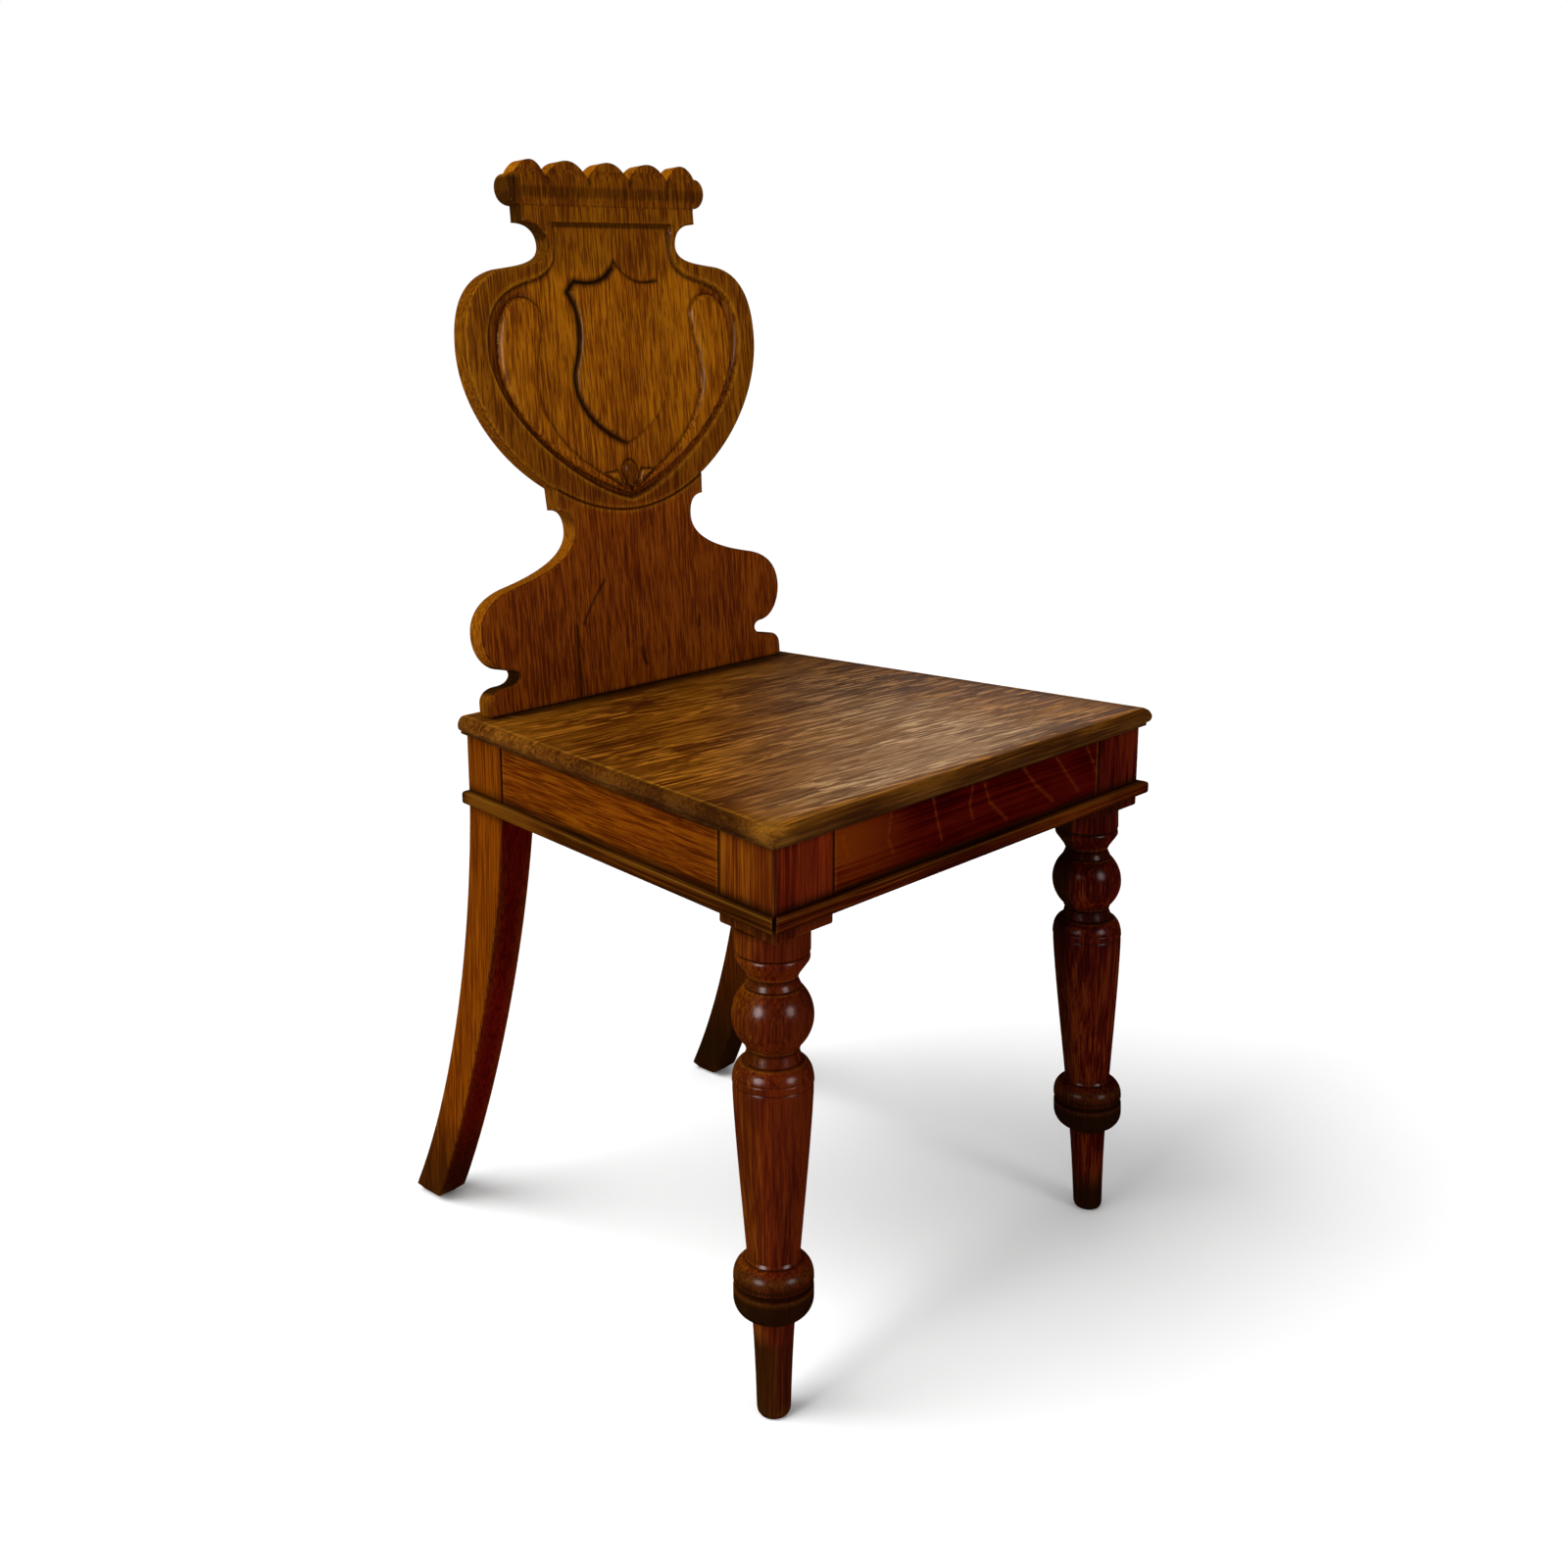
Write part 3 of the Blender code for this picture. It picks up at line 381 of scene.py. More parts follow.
def fleck_mask(g, grain, flecks):
    """Short pale dashes in patches, hidden under dirt and painted shade."""
    dash = g.noise(g.place(grain, turn=(0, 0, 0.10)), (24, 270, 270), 2, 0.55, 0.3)
    zone = g.noise(grain, (6, 12, 12), 2)
    mask = g.math("MULTIPLY", g.span(dash, 0.540, 0.590), g.span(zone, 0.34, 0.58, 0.45, 1.0))
    return g.math("MULTIPLY", mask, g.span(g.value("dirt"), 0.05, 0.5, flecks, 0.0))


def wax(g, fine, pore_mask, grime, sheen, shine, coat):
    """The gloss, duller in pores, dirt and painted shade, and the fine relief of the grain."""
    gloss = g.math("ADD", g.span(fine, 0.35, 0.65, -0.05, 0.05), sheen)
    gloss = g.math("ADD", gloss, g.math("MULTIPLY", pore_mask, 0.15))
    gloss = g.math("ADD", gloss, g.math("MULTIPLY", grime, 0.2), clamp=True)
    g.put(g.shader.inputs["Roughness"], gloss)
    g.shader.inputs["Specular IOR Level"].default_value = shine
    g.shader.inputs["Specular Tint"].default_value = WAX_TINT
    if coat:
        g.put(g.shader.inputs["Coat Weight"], g.span(grime, 0.3, 1.0, coat, coat * 0.15))
        g.shader.inputs["Coat Roughness"].default_value = 0.22
    height = g.math("SUBTRACT", g.math("MULTIPLY", fine, 0.35), g.math("MULTIPLY", pore_mask, 0.8))
    bump = g.node("ShaderNodeBump")
    bump.inputs["Strength"].default_value = 0.25
    bump.inputs["Distance"].default_value = 0.0006
    g.put(bump.inputs["Height"], height)
    g.put(g.shader.inputs["Normal"], bump.outputs[0])


def oak(
    name, turn, shades, seed=0.0, mix=(0.22, 0.30, 0.48), pores=1.0, flecks=0.0, sheen=0.34, coat=0.0,
    grey=0.0, tint=RED_TINT, shine=0.0, short=1.0,
):
    """Old waxed oak. Its grain runs along X once turn is taken off; shades are dark, middle and light.

    mix gives the shares of broad clouds, bands and fine lines, and short makes those lines shorter.
    sheen is the roughness, shine the reflection of the wood and coat that of its wax. Point attributes change
    the wood over the surface: dirt and painted shade, wear and painted highlights, a darker red stain that
    also paints shade in places, a pale ray figure, and rubbed bare grey wood that also paints a sheen on the
    seat.
    """
    dark, middle, light = shades
    g = Graph(name)
    grain = grain_along(g, turn, seed)
    cloud = g.noise(grain, (8, 26, 26), 3)
    band = g.noise(grain, (3 * short, 340, 340), 3, 0.6)
    fine = g.noise(grain, (5 * short, 720, 720), 2, 0.6)
    pore = g.noise(grain, (9 * short, 950, 950), 2, 0.5)
    pore_mask = g.math("MULTIPLY", g.span(pore, 0.56, 0.66), g.span(band, 0.35, 0.60, 0.3, 1.0))
    parts = [g.math("MULTIPLY", noise, share) for noise, share in zip((cloud, band, fine), mix)]
    tone = g.math("ADD", g.math("ADD", parts[0], parts[1]), parts[2])
    base = g.blend(g.span(tone, 0.43, 0.505), dark, middle)
    base = g.blend(g.span(tone, 0.495, 0.57), base, light)
    pale = scaled(light, (1.9, 1.9, 1.9), (0.014, 0.008, 0.002))
    if grey:
        # Rubbed bare grey, also a painted sheen
        rubbed = g.math("MULTIPLY", g.value("grey"), g.span(band, 0.36, 0.62, 0.35, 1.0))
        base = g.blend(g.math("MULTIPLY", rubbed, grey), base, BARE_GREY)
    if flecks:
        bright = g.blend(g.value("grey"), pale, BARE_FLECK) if grey else pale
        base = g.blend(fleck_mask(g, grain, flecks), base, bright)
    # The darker red stain, which in places also paints shade
    base = g.blend(g.value("red"), base, tint, "MULTIPLY")
    ray = g.math("MULTIPLY", g.value("ray"), g.span(band, 0.36, 0.60, 0.4, 1.0))
    base = g.blend(ray, base, pale)
    base = g.blend(g.math("MULTIPLY", pore_mask, 0.75 * pores), base, scaled(dark, (0.30, 0.22, 0.4)))
    # Wear, and painted highlights, lighten the wood
    rub = g.math("MULTIPLY", g.value("wear"), g.span(fine, 0.36, 0.60, 0.35, 1.0))
    base = g.blend(rub, base, scaled(light, (1.3, 1.5, 1.9), (0.03, 0.02, 0.002)))
    # Dirt and painted shade darken the wood towards one dark colour
    grime = g.math("MULTIPLY", g.value("dirt"), g.span(cloud, 0.30, 0.55, 0.92, 1.0))
    g.put(g.shader.inputs["Base Color"], g.blend(grime, base, GRIME))
    wax(g, fine, pore_mask, grime, sheen, shine, coat)
    return g.material


def steel(name):
    g = Graph(name)
    where = g.node("ShaderNodeTexCoord").outputs["Object"]
    stain = g.noise(where, (300, 300, 300), 3)
    bright, rusty = colour(0.30, 0.29, 0.27), colour(0.10, 0.06, 0.04)
    g.put(g.shader.inputs["Base Color"], g.blend(g.span(stain, 0.45, 0.7), bright, rusty))
    g.put(g.shader.inputs["Roughness"], g.span(stain, 0.3, 0.7, 0.32, 0.62))
    g.shader.inputs["Metallic"].default_value = 0.9
    return g.material


UPRIGHT = (0, math.pi / 2, 0)
ACROSS = (0, 0, 0)
LEANING = (BACK_RAKE, math.pi / 2, 0)
BACKWARD = {hand: (0, 0, -math.pi / 2 - hand * SPLAY) for hand, _ in HANDS}


def tones(dark, middle, light):
    return colour(*dark), colour(*middle), colour(*light)


GOLD = tones((0.110, 0.0245, 0.0007), (0.210, 0.0560, 0.0010), (0.298, 0.0970, 0.0020))
SIDE = tones((0.050, 0.0090, 0.0006), (0.090, 0.0185, 0.0008), (0.132, 0.034, 0.0014))
REAR = tones((0.066, 0.0122, 0.0006), (0.112, 0.0235, 0.0008), (0.156, 0.038, 0.0012))
RED = tones((0.030, 0.0012, 0.0003), (0.062, 0.0050, 0.0005), (0.105, 0.0165, 0.0010))
# Darker tones for the right front leg, painting the shade it stands in
RIGHT = tones((0.020, 0.0008, 0.0004), (0.052, 0.0032, 0.0006), (0.100, 0.0170, 0.0014))
LEG = tones((0.052, 0.0078, 0.0005), (0.098, 0.0200, 0.0007), (0.148, 0.042, 0.0011))
SEAT = tones((0.044, 0.0098, 0.0006), (0.092, 0.0250, 0.0010), (0.160, 0.054, 0.0032))
BEAD = tones((0.020, 0.0050, 0.0006), (0.050, 0.0125, 0.0009), (0.088, 0.029, 0.0022))
BEAD_FRONT = tones((0.018, 0.0018, 0.0005), (0.042, 0.0060, 0.0008), (0.078, 0.0170, 0.0016))
BARE = tones((0.160, 0.085, 0.034), (0.240, 0.135, 0.060), (0.320, 0.195, 0.095))

oak_back = oak(
    "oak_back", LEANING, GOLD, 1.7, (0.20, 0.16, 0.64), coat=0.065, tint=colour(0.66, 0.45, 0.9), short=7.0,
)
oak_seat = oak(
    "oak_seat", ACROSS, SEAT, 4.1, (0.36, 0.32, 0.32), flecks=0.90, grey=0.80, shine=0.07, short=3.0,
)
oak_side = {
    hand: oak(f"oak_side_{word}", BACKWARD[hand], SIDE, 7.3, (0.16, 0.24, 0.60), flecks=0.25, short=4.0)
    for hand, word in HANDS
}
oak_front = oak("oak_front", ACROSS, RED, 2.9, (0.48, 0.24, 0.28), 0.4, tint=colour(0.44, 0.13, 0.7))
oak_leg_left = oak(
    "oak_leg_left", UPRIGHT, LEG, 5.2, (0.36, 0.30, 0.34), 0.6, sheen=0.30, short=4.0, coat=0.095,
    tint=colour(0.82, 0.27, 0.9),
)
# The right front leg's oak, a darker copy of the left's as painted shade
oak_leg_right = oak(
    "oak_leg_right", UPRIGHT, RIGHT, 3.6, (0.36, 0.30, 0.34), 0.6, sheen=0.30, short=4.0, coat=0.055,
    tint=colour(0.62, 0.30, 0.8),
)
oak_rear = oak("oak_rear", UPRIGHT, REAR, 9.4, (0.20, 0.30, 0.50), short=2.0, tint=colour(0.48, 0.07, 0.8))
oak_bead = {
    hand: oak(f"oak_bead_{word}", BACKWARD[hand], BEAD, 6.6, (0.45, 0.25, 0.30)) for hand, word in HANDS
}
oak_bead_front = oak("oak_bead_front", ACROSS, BEAD_FRONT, 3.3, (0.40, 0.25, 0.35))
oak_back_rail = oak("oak_back_rail", ACROSS, REAR, 8.1, (0.30, 0.30, 0.40), sheen=0.45)
oak_inner = oak("oak_inner", ACROSS, BARE, 8.8, sheen=0.62)
screw_steel = steel("screw_steel")


# Back board

# Heights, rises and half widths of the carving
GROUND_DEPTH = 0.0030
RIM_RUN = 0.0030
NECK_RUN = 0.0006
HOLLOW_DEPTH = 0.0010
HOLLOW_TOP = 0.345
POD_LIP = 0.0010
POD_SWELL = 0.0040
BUD_RADIUS = 0.0078
BUD_MIDDLE = 0.1855
BUD_TIP = 0.1675
BUD_SWELL = 0.0030
LEAF = ((0.028, 0.1835), (0.0135, 0.1850), (0.0065, 0.1700))
LEAF_SWELL = 0.0022
GROOVE_HALF = 0.0014
GROOVE_DEPTH = 0.0015
SEAM_HALF = 0.0012
SEAM_DEPTH = 0.0007
ARRIS = 0.0013
BOARD_STEP = 0.0018
BUD_STEP = 0.0009
CELL = 0.002

# Rings round the board's edge: depth, inset, wear, and dirt on the bowl
EDGE_RINGS = (
    (0.0016, 0, 0.40, 0.1),
    (0.0026, 0, 0.1, 0.80),
    (0.0038, 0, 0.25, 0.46),
    (BACK_THICKNESS / 2, 0, 0.25, 0.46),
    (BACK_THICKNESS - ARRIS, 0, 0.25, 0.45),
    (BACK_THICKNESS - ARRIS * 0.3, ARRIS * 0.3, 0.5, 0.3),
    (BACK_THICKNESS, ARRIS, 0.3, 0.3),
)


def lobes():
    """The scalloped top edge, from the end of the roll in to the centre line."""
    ends = [CREST_HALF, LOBE_WIDTH * 1.5, LOBE_WIDTH * 0.5, -LOBE_WIDTH * 0.5]
    points = []
    for outer, inner in zip(ends, ends[1:]):
        x = np.linspace(outer, inner, 29)[1:]
        across = 2 * (x - inner) / (outer - inner) - 1
        low = np.where((outer == CREST_HALF) & (across > 0), ROLL_TOP, LOBE_VALLEY)
        points.append(np.stack([x, low + (LOBE_TOP - low) * (1 - np.abs(across) ** 2.2)], 1))
    points = np.concatenate(points)
    return points[points[:, 0] > -1e-6]


def bowl_curve(skip=0.0):
    """A lower quarter of the cartouche, from the centre line out to its widest point."""
    middle = (CARTOUCHE_LOW + CARTOUCHE_MID) / 2
    return curve(
        (0, CARTOUCHE_LOW), (CARTOUCHE_HALF / 2, CARTOUCHE_LOW),
        (CARTOUCHE_HALF, middle), (CARTOUCHE_HALF, CARTOUCHE_MID), skip=skip,
    )


def back_outline():
    low = path(
        (0.168, 0),
        [(0.168, 0.0101)],
        [(0.168, 0.018), (0.1624, 0.0225), (0.1513, 0.0225)],
        [(0.1331, 0.0225), (0.1331, 0.0355), (0.1461, 0.0355)],
        [(0.161, 0.0368), (0.171, 0.0508), (0.171, 0.066)],
        [(0.171, 0.0847), (0.1574, 0.0952), (0.137, 0.100)],
        [(0.103, 0.1068), (0.0665, 0.118), (0.0665, 0.140)],
        [(0.0665, 0.1499), (0.0704, 0.158), (COLLAR_HALF, 0.158)],
    )
    bowl = bowl_curve(skip=2 * math.sin(math.asin(COLLAR_HALF / CARTOUCHE_HALF) / 3))
    high = path(
        bowl[-1],
        [(0.1605, 0.3248), (0.1481, 0.3464), (0.1182, 0.3525)],
        [(0.0963, 0.3556), (0.0705, 0.356), (0.0705, 0.371)],
        [(0.0705, 0.3809), (0.0779, 0.389), (0.0945, FILLET_LOW)],
        [(0.0945, FILLET_TOP)],
        [(0.1125, FILLET_TOP), (0.1125, ROLL_TOP), (0.0985, ROLL_TOP)],
    )
    corner = line(low[-1], bowl[0])[:-1]
    return mirrored(np.concatenate([low, corner, bowl, high[1:], lobes()]))


def figure(*corners):
    """Corners of the carved figure, from half widths of the cartouche to metres."""
    return [(a * CARTOUCHE_HALF, CARTOUCHE_MID + u * CARTOUCHE_HALF) for a, u in corners]


def ground_outline():
    return mirrored(path(
        (0, 0.160),
        [(0.0407, 0.1652), (0.1405, 0.2294), (0.1405, 0.291)],
        [(0.1405, 0.3218), (0.1248, 0.3376), (0.0905, 0.3445)],
        [(0.0793, 0.3477), (0.0655, 0.3519), (0.0655, 0.371)],
        [(0.0655, FILLET_LOW - GAP)],
        [(0, FILLET_LOW - GAP)],
    ))


def shield_outline():
    points = figure(
        (0, 0.417), (0.037, 0.343), (0.137, 0.280), (0.283, 0.318), (0.336, 0.262), (0.249, 0.168),
        (0.262, 0.006), (0.317, -0.125), (0.355, -0.255), (0.249, -0.430), (0, -0.523),
    )
    return mirrored(path(points[0], points[1:4], points[4:5], points[5:8], points[8:11]))


def pod_sides():
    """The outer and the inner edge of the right-hand pod, both from its top to its tail."""
    top = figure((0.642, 0.243))[0]
    outer = path(
        top,
        figure((0.748, 0.243), (0.810, 0.118), (0.807, -0.050)),
        figure((0.804, -0.318), (0.467, -0.629), (0.0, -0.785)),
    )
    inner = path(
        top,
        figure((0.573, 0.243), (0.514, 0.193), (0.514, 0.131)),
        figure((0.517, 0.044), (0.561, -0.006), (0.567, -0.118)),
        figure((0.611, -0.318), (0.436, -0.592), (0.0, -0.752)),
    )
    return outer, inner


def offsets(chain, amounts, closed=True):
    """Rows of points beside a chain, on its left for positive amounts."""
    ahead = np.roll(chain, -1, axis=0) - np.roll(chain, 1, axis=0)
    if not closed:
        ahead = np.gradient(chain, axis=0)
    normal = np.stack([-ahead[:, 1], ahead[:, 0]], 1)
    normal /= np.maximum(np.linalg.norm(normal, axis=1, keepdims=True), 1e-12)
    return [chain + normal * amount for amount in amounts]


def thinned(points, keep, spacing):
    """The points that stay at least spacing from each other and from those kept before."""
    cells = {}

    def cell(p):
        return int(p[0] // CELL), int(p[1] // CELL)

    def crowded(p):
        column, row = cell(p)
        for i in (-1, 0, 1):
            for j in (-1, 0, 1):
                for q in cells.get((column + i, row + j), ()):
                    if (p[0] - q[0]) ** 2 + (p[1] - q[1]) ** 2 < spacing * spacing:
                        return True
        return False

    for p in keep:
        cells.setdefault(cell(p), []).append(p)
    found = []
    for p in points:
        if not crowded(p):
            found.append(p)
            cells.setdefault(cell(p), []).append(p)
    return found


# Old cracks, a run of dark stain and two knots low on the board: points, half width and darkness
BOARD_MARKS = (
    (((-0.0397, 0.0954), (-0.0532, 0.0806), (-0.0658, 0.0625)), 0.0011, 0.90),
    (((-0.0735, 0.0612), (-0.0742, 0.0440), (-0.0747, 0.0193), (-0.0738, 0.0010)), 0.0018, 0.88),
    (((-0.0728, 0.1240), (-0.0733, 0.0900), (-0.0735, 0.0612)), 0.0006, 0.55),
    (((0.0669, 0.0505), (0.0661, 0.0418)), 0.0014, 0.90),
    (((-0.0039, 0.0340), (-0.0028, 0.0255), (0.0010, 0.0175)), 0.0011, 0.88),
)


def bud_outline():
    turn = np.linspace(math.radians(-28), math.radians(208), 24)
    round_end = np.stack([BUD_RADIUS * np.cos(turn), BUD_MIDDLE + BUD_RADIUS * np.sin(turn)], 1)
    return np.concatenate([round_end, [(0, BUD_TIP)]])


def measured(points, outline):
    """Distances from points (x, height up the board) to the lines of the carving, positive inside."""
    m = SimpleNamespace(points=points, x=points[:, 0], s=points[:, 1])
    folded = np.stack([np.abs(m.x), m.s], 1)
    outer, inner = pod_sides()
    bowl = bowl_curve()
    m.edge = distance(points, outline)
    m.ground = signed(points, ground_outline())
    m.shield = signed(points, shield_outline())
    m.pod = signed(folded, np.concatenate([outer, inner[::-1][1:-1]]))
    m.outer = distance(folded, outer, closed=False)
    m.inner = distance(folded, inner, closed=False)
    m.bud = signed(points, bud_outline())
    m.leaf = signed(folded, np.array(LEAF))
    m.bowl = distance(folded, bowl[bowl[:, 0] < COLLAR_HALF + 0.002], closed=False)
    m.groove = np.clip(1 - m.bowl / GROOVE_HALF, 0, 1)
    m.seam = np.clip(1 - np.abs(m.s - FILLET_TOP) / SEAM_HALF, 0, 1)
    m.hollow = bell(m.outer - 0.001, 0.006) * (m.pod < 0) * (m.ground > 0) * (m.s < HOLLOW_TOP)
    m.right = rising(m.x, 0.02, 0.03) * falling(m.s, 0.335, 0.02)
    m.on_bowl = rising(m.s, 0.150, 0.01) * falling(m.s, 0.362, 0.01)
    return m


def relief(m):
    """Depth of the carving behind the board's front plane."""
    run = RIM_RUN - (RIM_RUN - NECK_RUN) * rising(m.s, 0.379, 0.006)
    depth = GROUND_DEPTH * (1 - (1 - np.clip(m.ground / run, 0, 1)) ** 1.5)
    depth += HOLLOW_DEPTH * m.hollow * np.clip(m.ground / 0.006, 0, 1)
    to_rim = np.minimum(m.outer, m.inner)
    pod = depth - POD_LIP * quarter(to_rim / 0.0012) - POD_SWELL * quarter(to_rim / 0.0160) ** 1.5
    pod = 0.0002 + (pod + np.sqrt(pod ** 2 + 0.0006 ** 2)) / 2
    depth = np.where(m.pod > 0, np.minimum(depth, pod), depth)
    face = 0.0003 + 0.0005 * (np.abs(m.x) / 0.056) ** 2
    wall = np.clip(m.shield / np.where(m.x > 0.005, 0.0010, 0.0016), 0, 1)
    depth = depth * (1 - wall) + face * wall
    depth -= np.where(m.bud > 0, BUD_SWELL * quarter(m.bud / 0.0055), 0)
    depth -= np.where(m.leaf > 0, LEAF_SWELL * quarter(m.leaf / 0.0032), 0)
    depth += GROOVE_DEPTH * m.groove + SEAM_DEPTH * m.seam
    roll = 0.0016 * (np.abs(m.s - 0.4155) / 0.0145) ** 3 * (m.s < 0.4300)
    depth += rising(m.s, FILLET_TOP, 0.003) * roll
    near = np.clip(1 - m.edge / ARRIS, 0, 1)
    return np.maximum(depth, 0) + ARRIS * (1 - np.sqrt(1 - near ** 2))


def figure_dirt(m):
    """Dirt in the lines of the shield, pods, rim, bud and leaves, and painted shade in the hollow beside the
    pods, at the foot of the rim's slope and as a shadow under the fillet.
    """
    left = np.clip((0.004 - m.x) / 0.008, 0, 1)
    brow = rising(m.s, 0.326, 0.006) * falling(m.x, 0.050, 0.006)
    shield_line = 0.52 + 0.48 * np.maximum(left, 0.75 * brow)
    return strongest(
        shield_line * bell(m.shield + 0.0002, 0.0012 + 0.0016 * left + 0.0005 * brow),
        0.65 * bell(m.pod + 0.0006, 0.0011) * (m.s < 0.340),
        # painted shade in the hollow beside the pods
        0.42 * np.clip(m.hollow, 0, 1),
        # painted shade at the foot of the rim's slope, less on the right, where the wall faces the light
        (0.85 - 0.45 * m.right) * bell(m.ground - 0.0026, 0.0020),
        # painted shadow under the fillet
        0.85 * bell(m.ground - 0.0006, 0.0012) * rising(m.s, 0.383, 0.004),
        0.36 * rising(-m.ground, 0, 0.001) * rising(m.s, 0.150, 0.02),
        0.90 * m.groove,
        0.95 * bell(m.bud + 0.0006, 0.0010),
        0.45 * (m.bud > 0),
        0.90 * bell(m.leaf + 0.0005, 0.0009),
    )


def crest_dirt(m):
    """The dark seam, a crest darker towards the top, and painted shade: a band across the roll, its left end,
    wedges under the valleys between the lobes and a shadow under the fillet.
    """
    across = np.abs(m.x)
    valley = np.minimum(np.abs(across - LOBE_WIDTH * 0.5), np.abs(across - LOBE_WIDTH * 1.5))
    return strongest(
        0.55 * m.seam,
        # painted shadow under the fillet
        0.62 * bell(FILLET_LOW - m.s, 0.0060) * (m.s < FILLET_LOW) * (m.ground > -0.004),
        # painted shade across the roll
        0.64 * np.exp(-((m.s - 0.4125) / 0.0065) ** 4),
        # painted shade on the left end of the roll
        0.80 * falling(m.x, -0.088, 0.012) * rising(m.s, 0.398, 0.004) * falling(m.s, 0.428, 0.006),
        0.36 * rising(m.s, 0.386, 0.008),
        0.28 * rising(m.s, 0.340, 0.02),
        # painted shade under the valleys between the lobes
        0.85 * bell(valley, 0.0030) * rising(m.s, 0.410, 0.010),
    )


def board_dirt(m):
    marks = [
        amount * bell(distance(m.points, np.array(chain), closed=False), width)
        for chain, width, amount in BOARD_MARKS
    ]
    foot = 0.90 * bell(m.s, 0.0022)
    # painted shade along the front arris, away from the bowl
    edge = 0.60 * (1 - m.on_bowl) * bell(m.edge, 0.0010)
    return np.clip(strongest(figure_dirt(m), crest_dirt(m), foot, edge, *marks), 0, 1)


def board_wear(m):
    """Rubbed edges and lighter leaves, with painted highlights on the flanks of the pods, on the rubbed inner
    lip of the rim and on the top edge of the lower board.
    """
    lit = np.where(m.x < 0, m.outer, m.inner)
    flank = (m.pod > 0) * rising(m.s, 0.225, 0.03) * falling(m.s, 0.325, 0.02)
    return strongest(
        0.35 * m.on_bowl * bell(m.edge, 0.0015),
        # rubbed inner lip of the rim, with a painted highlight that is stronger on the right
        (0.45 + 0.15 * m.right) * bell(m.ground + 0.0008, 0.0013) * (m.s < 0.37),
        # painted highlight on the top edge of the lower board, under the groove
        0.40 * bell(m.bowl - 0.0022, 0.0010) * (m.s < 0.158 + np.abs(m.x) * 0.3),
        # painted highlight on the flanks of the pods
        0.34 * flank * bell(lit - 0.0048, 0.0032),
        0.40 * (m.leaf > 0.0012),
    )


def low_red(height):
    """The darker stain low on the board."""
    return 1 - rising(height, 0.130, 0.10)


def board_red(m):
    # The darker stain low on the board and on the crest; in the hollow beside the pods it paints shade
    return strongest(low_red(m.s), 0.25 * rising(m.s, 0.400, 0.006), 0.9 * np.clip(m.hollow, 0, 1))


def to_chair(x, depth, s):
    s = np.maximum(s, depth * math.tan(BACK_RAKE))
    y = BACK_FOOT.y + s * math.sin(BACK_RAKE) + depth * math.cos(BACK_RAKE)
    z = BACK_FOOT.z + s * math.cos(BACK_RAKE) - depth * math.sin(BACK_RAKE)
    return np.stack([x, y, z], 1)


def line_points(outline):
    """Points along the lines of the carving, where the mesh is finest."""
    rows = []
    for chain, amounts in (
        (outline, (0.0004, ARRIS)),
        (shield_outline(), (0.0, -0.0010, 0.0010, 0.0005)),
        (ground_outline(), (0.0, 0.0010, 0.0020, 0.0030, -0.0008)),
    ):
        rows += offsets(chain, amounts)
    outer, inner = pod_sides()
    bowl = bowl_curve()
    pod_rows = (0.0, 0.0006, -0.0006, 0.0016, -0.0016)
    groove_rows = (0.0, GROOVE_HALF, -GROOVE_HALF)
    for chain, amounts in (
        (outer, pod_rows), (inner, pod_rows), (bowl[bowl[:, 0] < COLLAR_HALF], groove_rows),
    ):
        for row in offsets(chain, amounts, closed=False):
            rows += [row, row * (-1, 1)]
    for mark, width, _ in BOARD_MARKS:
        chain = np.concatenate([line(p, q, 0.0008) for p, q in zip(mark, mark[1:])])
        rows += offsets(chain, (0.0, width, -width), closed=False)
    across = np.arange(-0.17, 0.17, 0.0016)
    for s in (FILLET_TOP - SEAM_HALF, FILLET_TOP, FILLET_TOP + SEAM_HALF, 0.0012, 0.003):
        rows.append(np.stack([across, np.full(len(across), s)], 1))
    return np.concatenate(rows)


def grid(half, heights, step, shift=0.0):
    """Rows of points across the board, with shift on every second row."""
    across = np.arange(-half, half, step)
    return np.array([(x + shift * (r % 2), s) for r, s in enumerate(heights) for x in across])


def board_points(outline):
    """The outline, then points all over the board that keep clear of it and of each other."""
    rows = list(outline)
    bud_heights = np.arange(0.164, 0.196, BUD_STEP)
    board_heights = np.arange(BOARD_STEP, 0.438, BOARD_STEP * 0.87)
    for points, clear, spacing in (
        (line_points(outline), 0.0003, 0.00045),
        (grid(0.030, bud_heights, BUD_STEP), 0.0003, 0.0006),
        (grid(0.172, board_heights, BOARD_STEP, BOARD_STEP / 2), 0.0011, 0.0011),
    ):
        points = points[inside(points, outline) & (distance(points, outline) > clear)]
        rows += thinned(points, rows, spacing)
    return rows


def triangulated(rows, count):
    """Points, triangles and the rows behind each point; the first count rows are a closed outline."""
    edges = [(i, (i + 1) % count) for i in range(count)]
    made = geometry.delaunay_2d_cdt([Vector(p) for p in rows], edges, [], 1, 1e-7)
    return np.array([tuple(p) for p in made[0]]), [list(f) for f in made[2]], made[3]


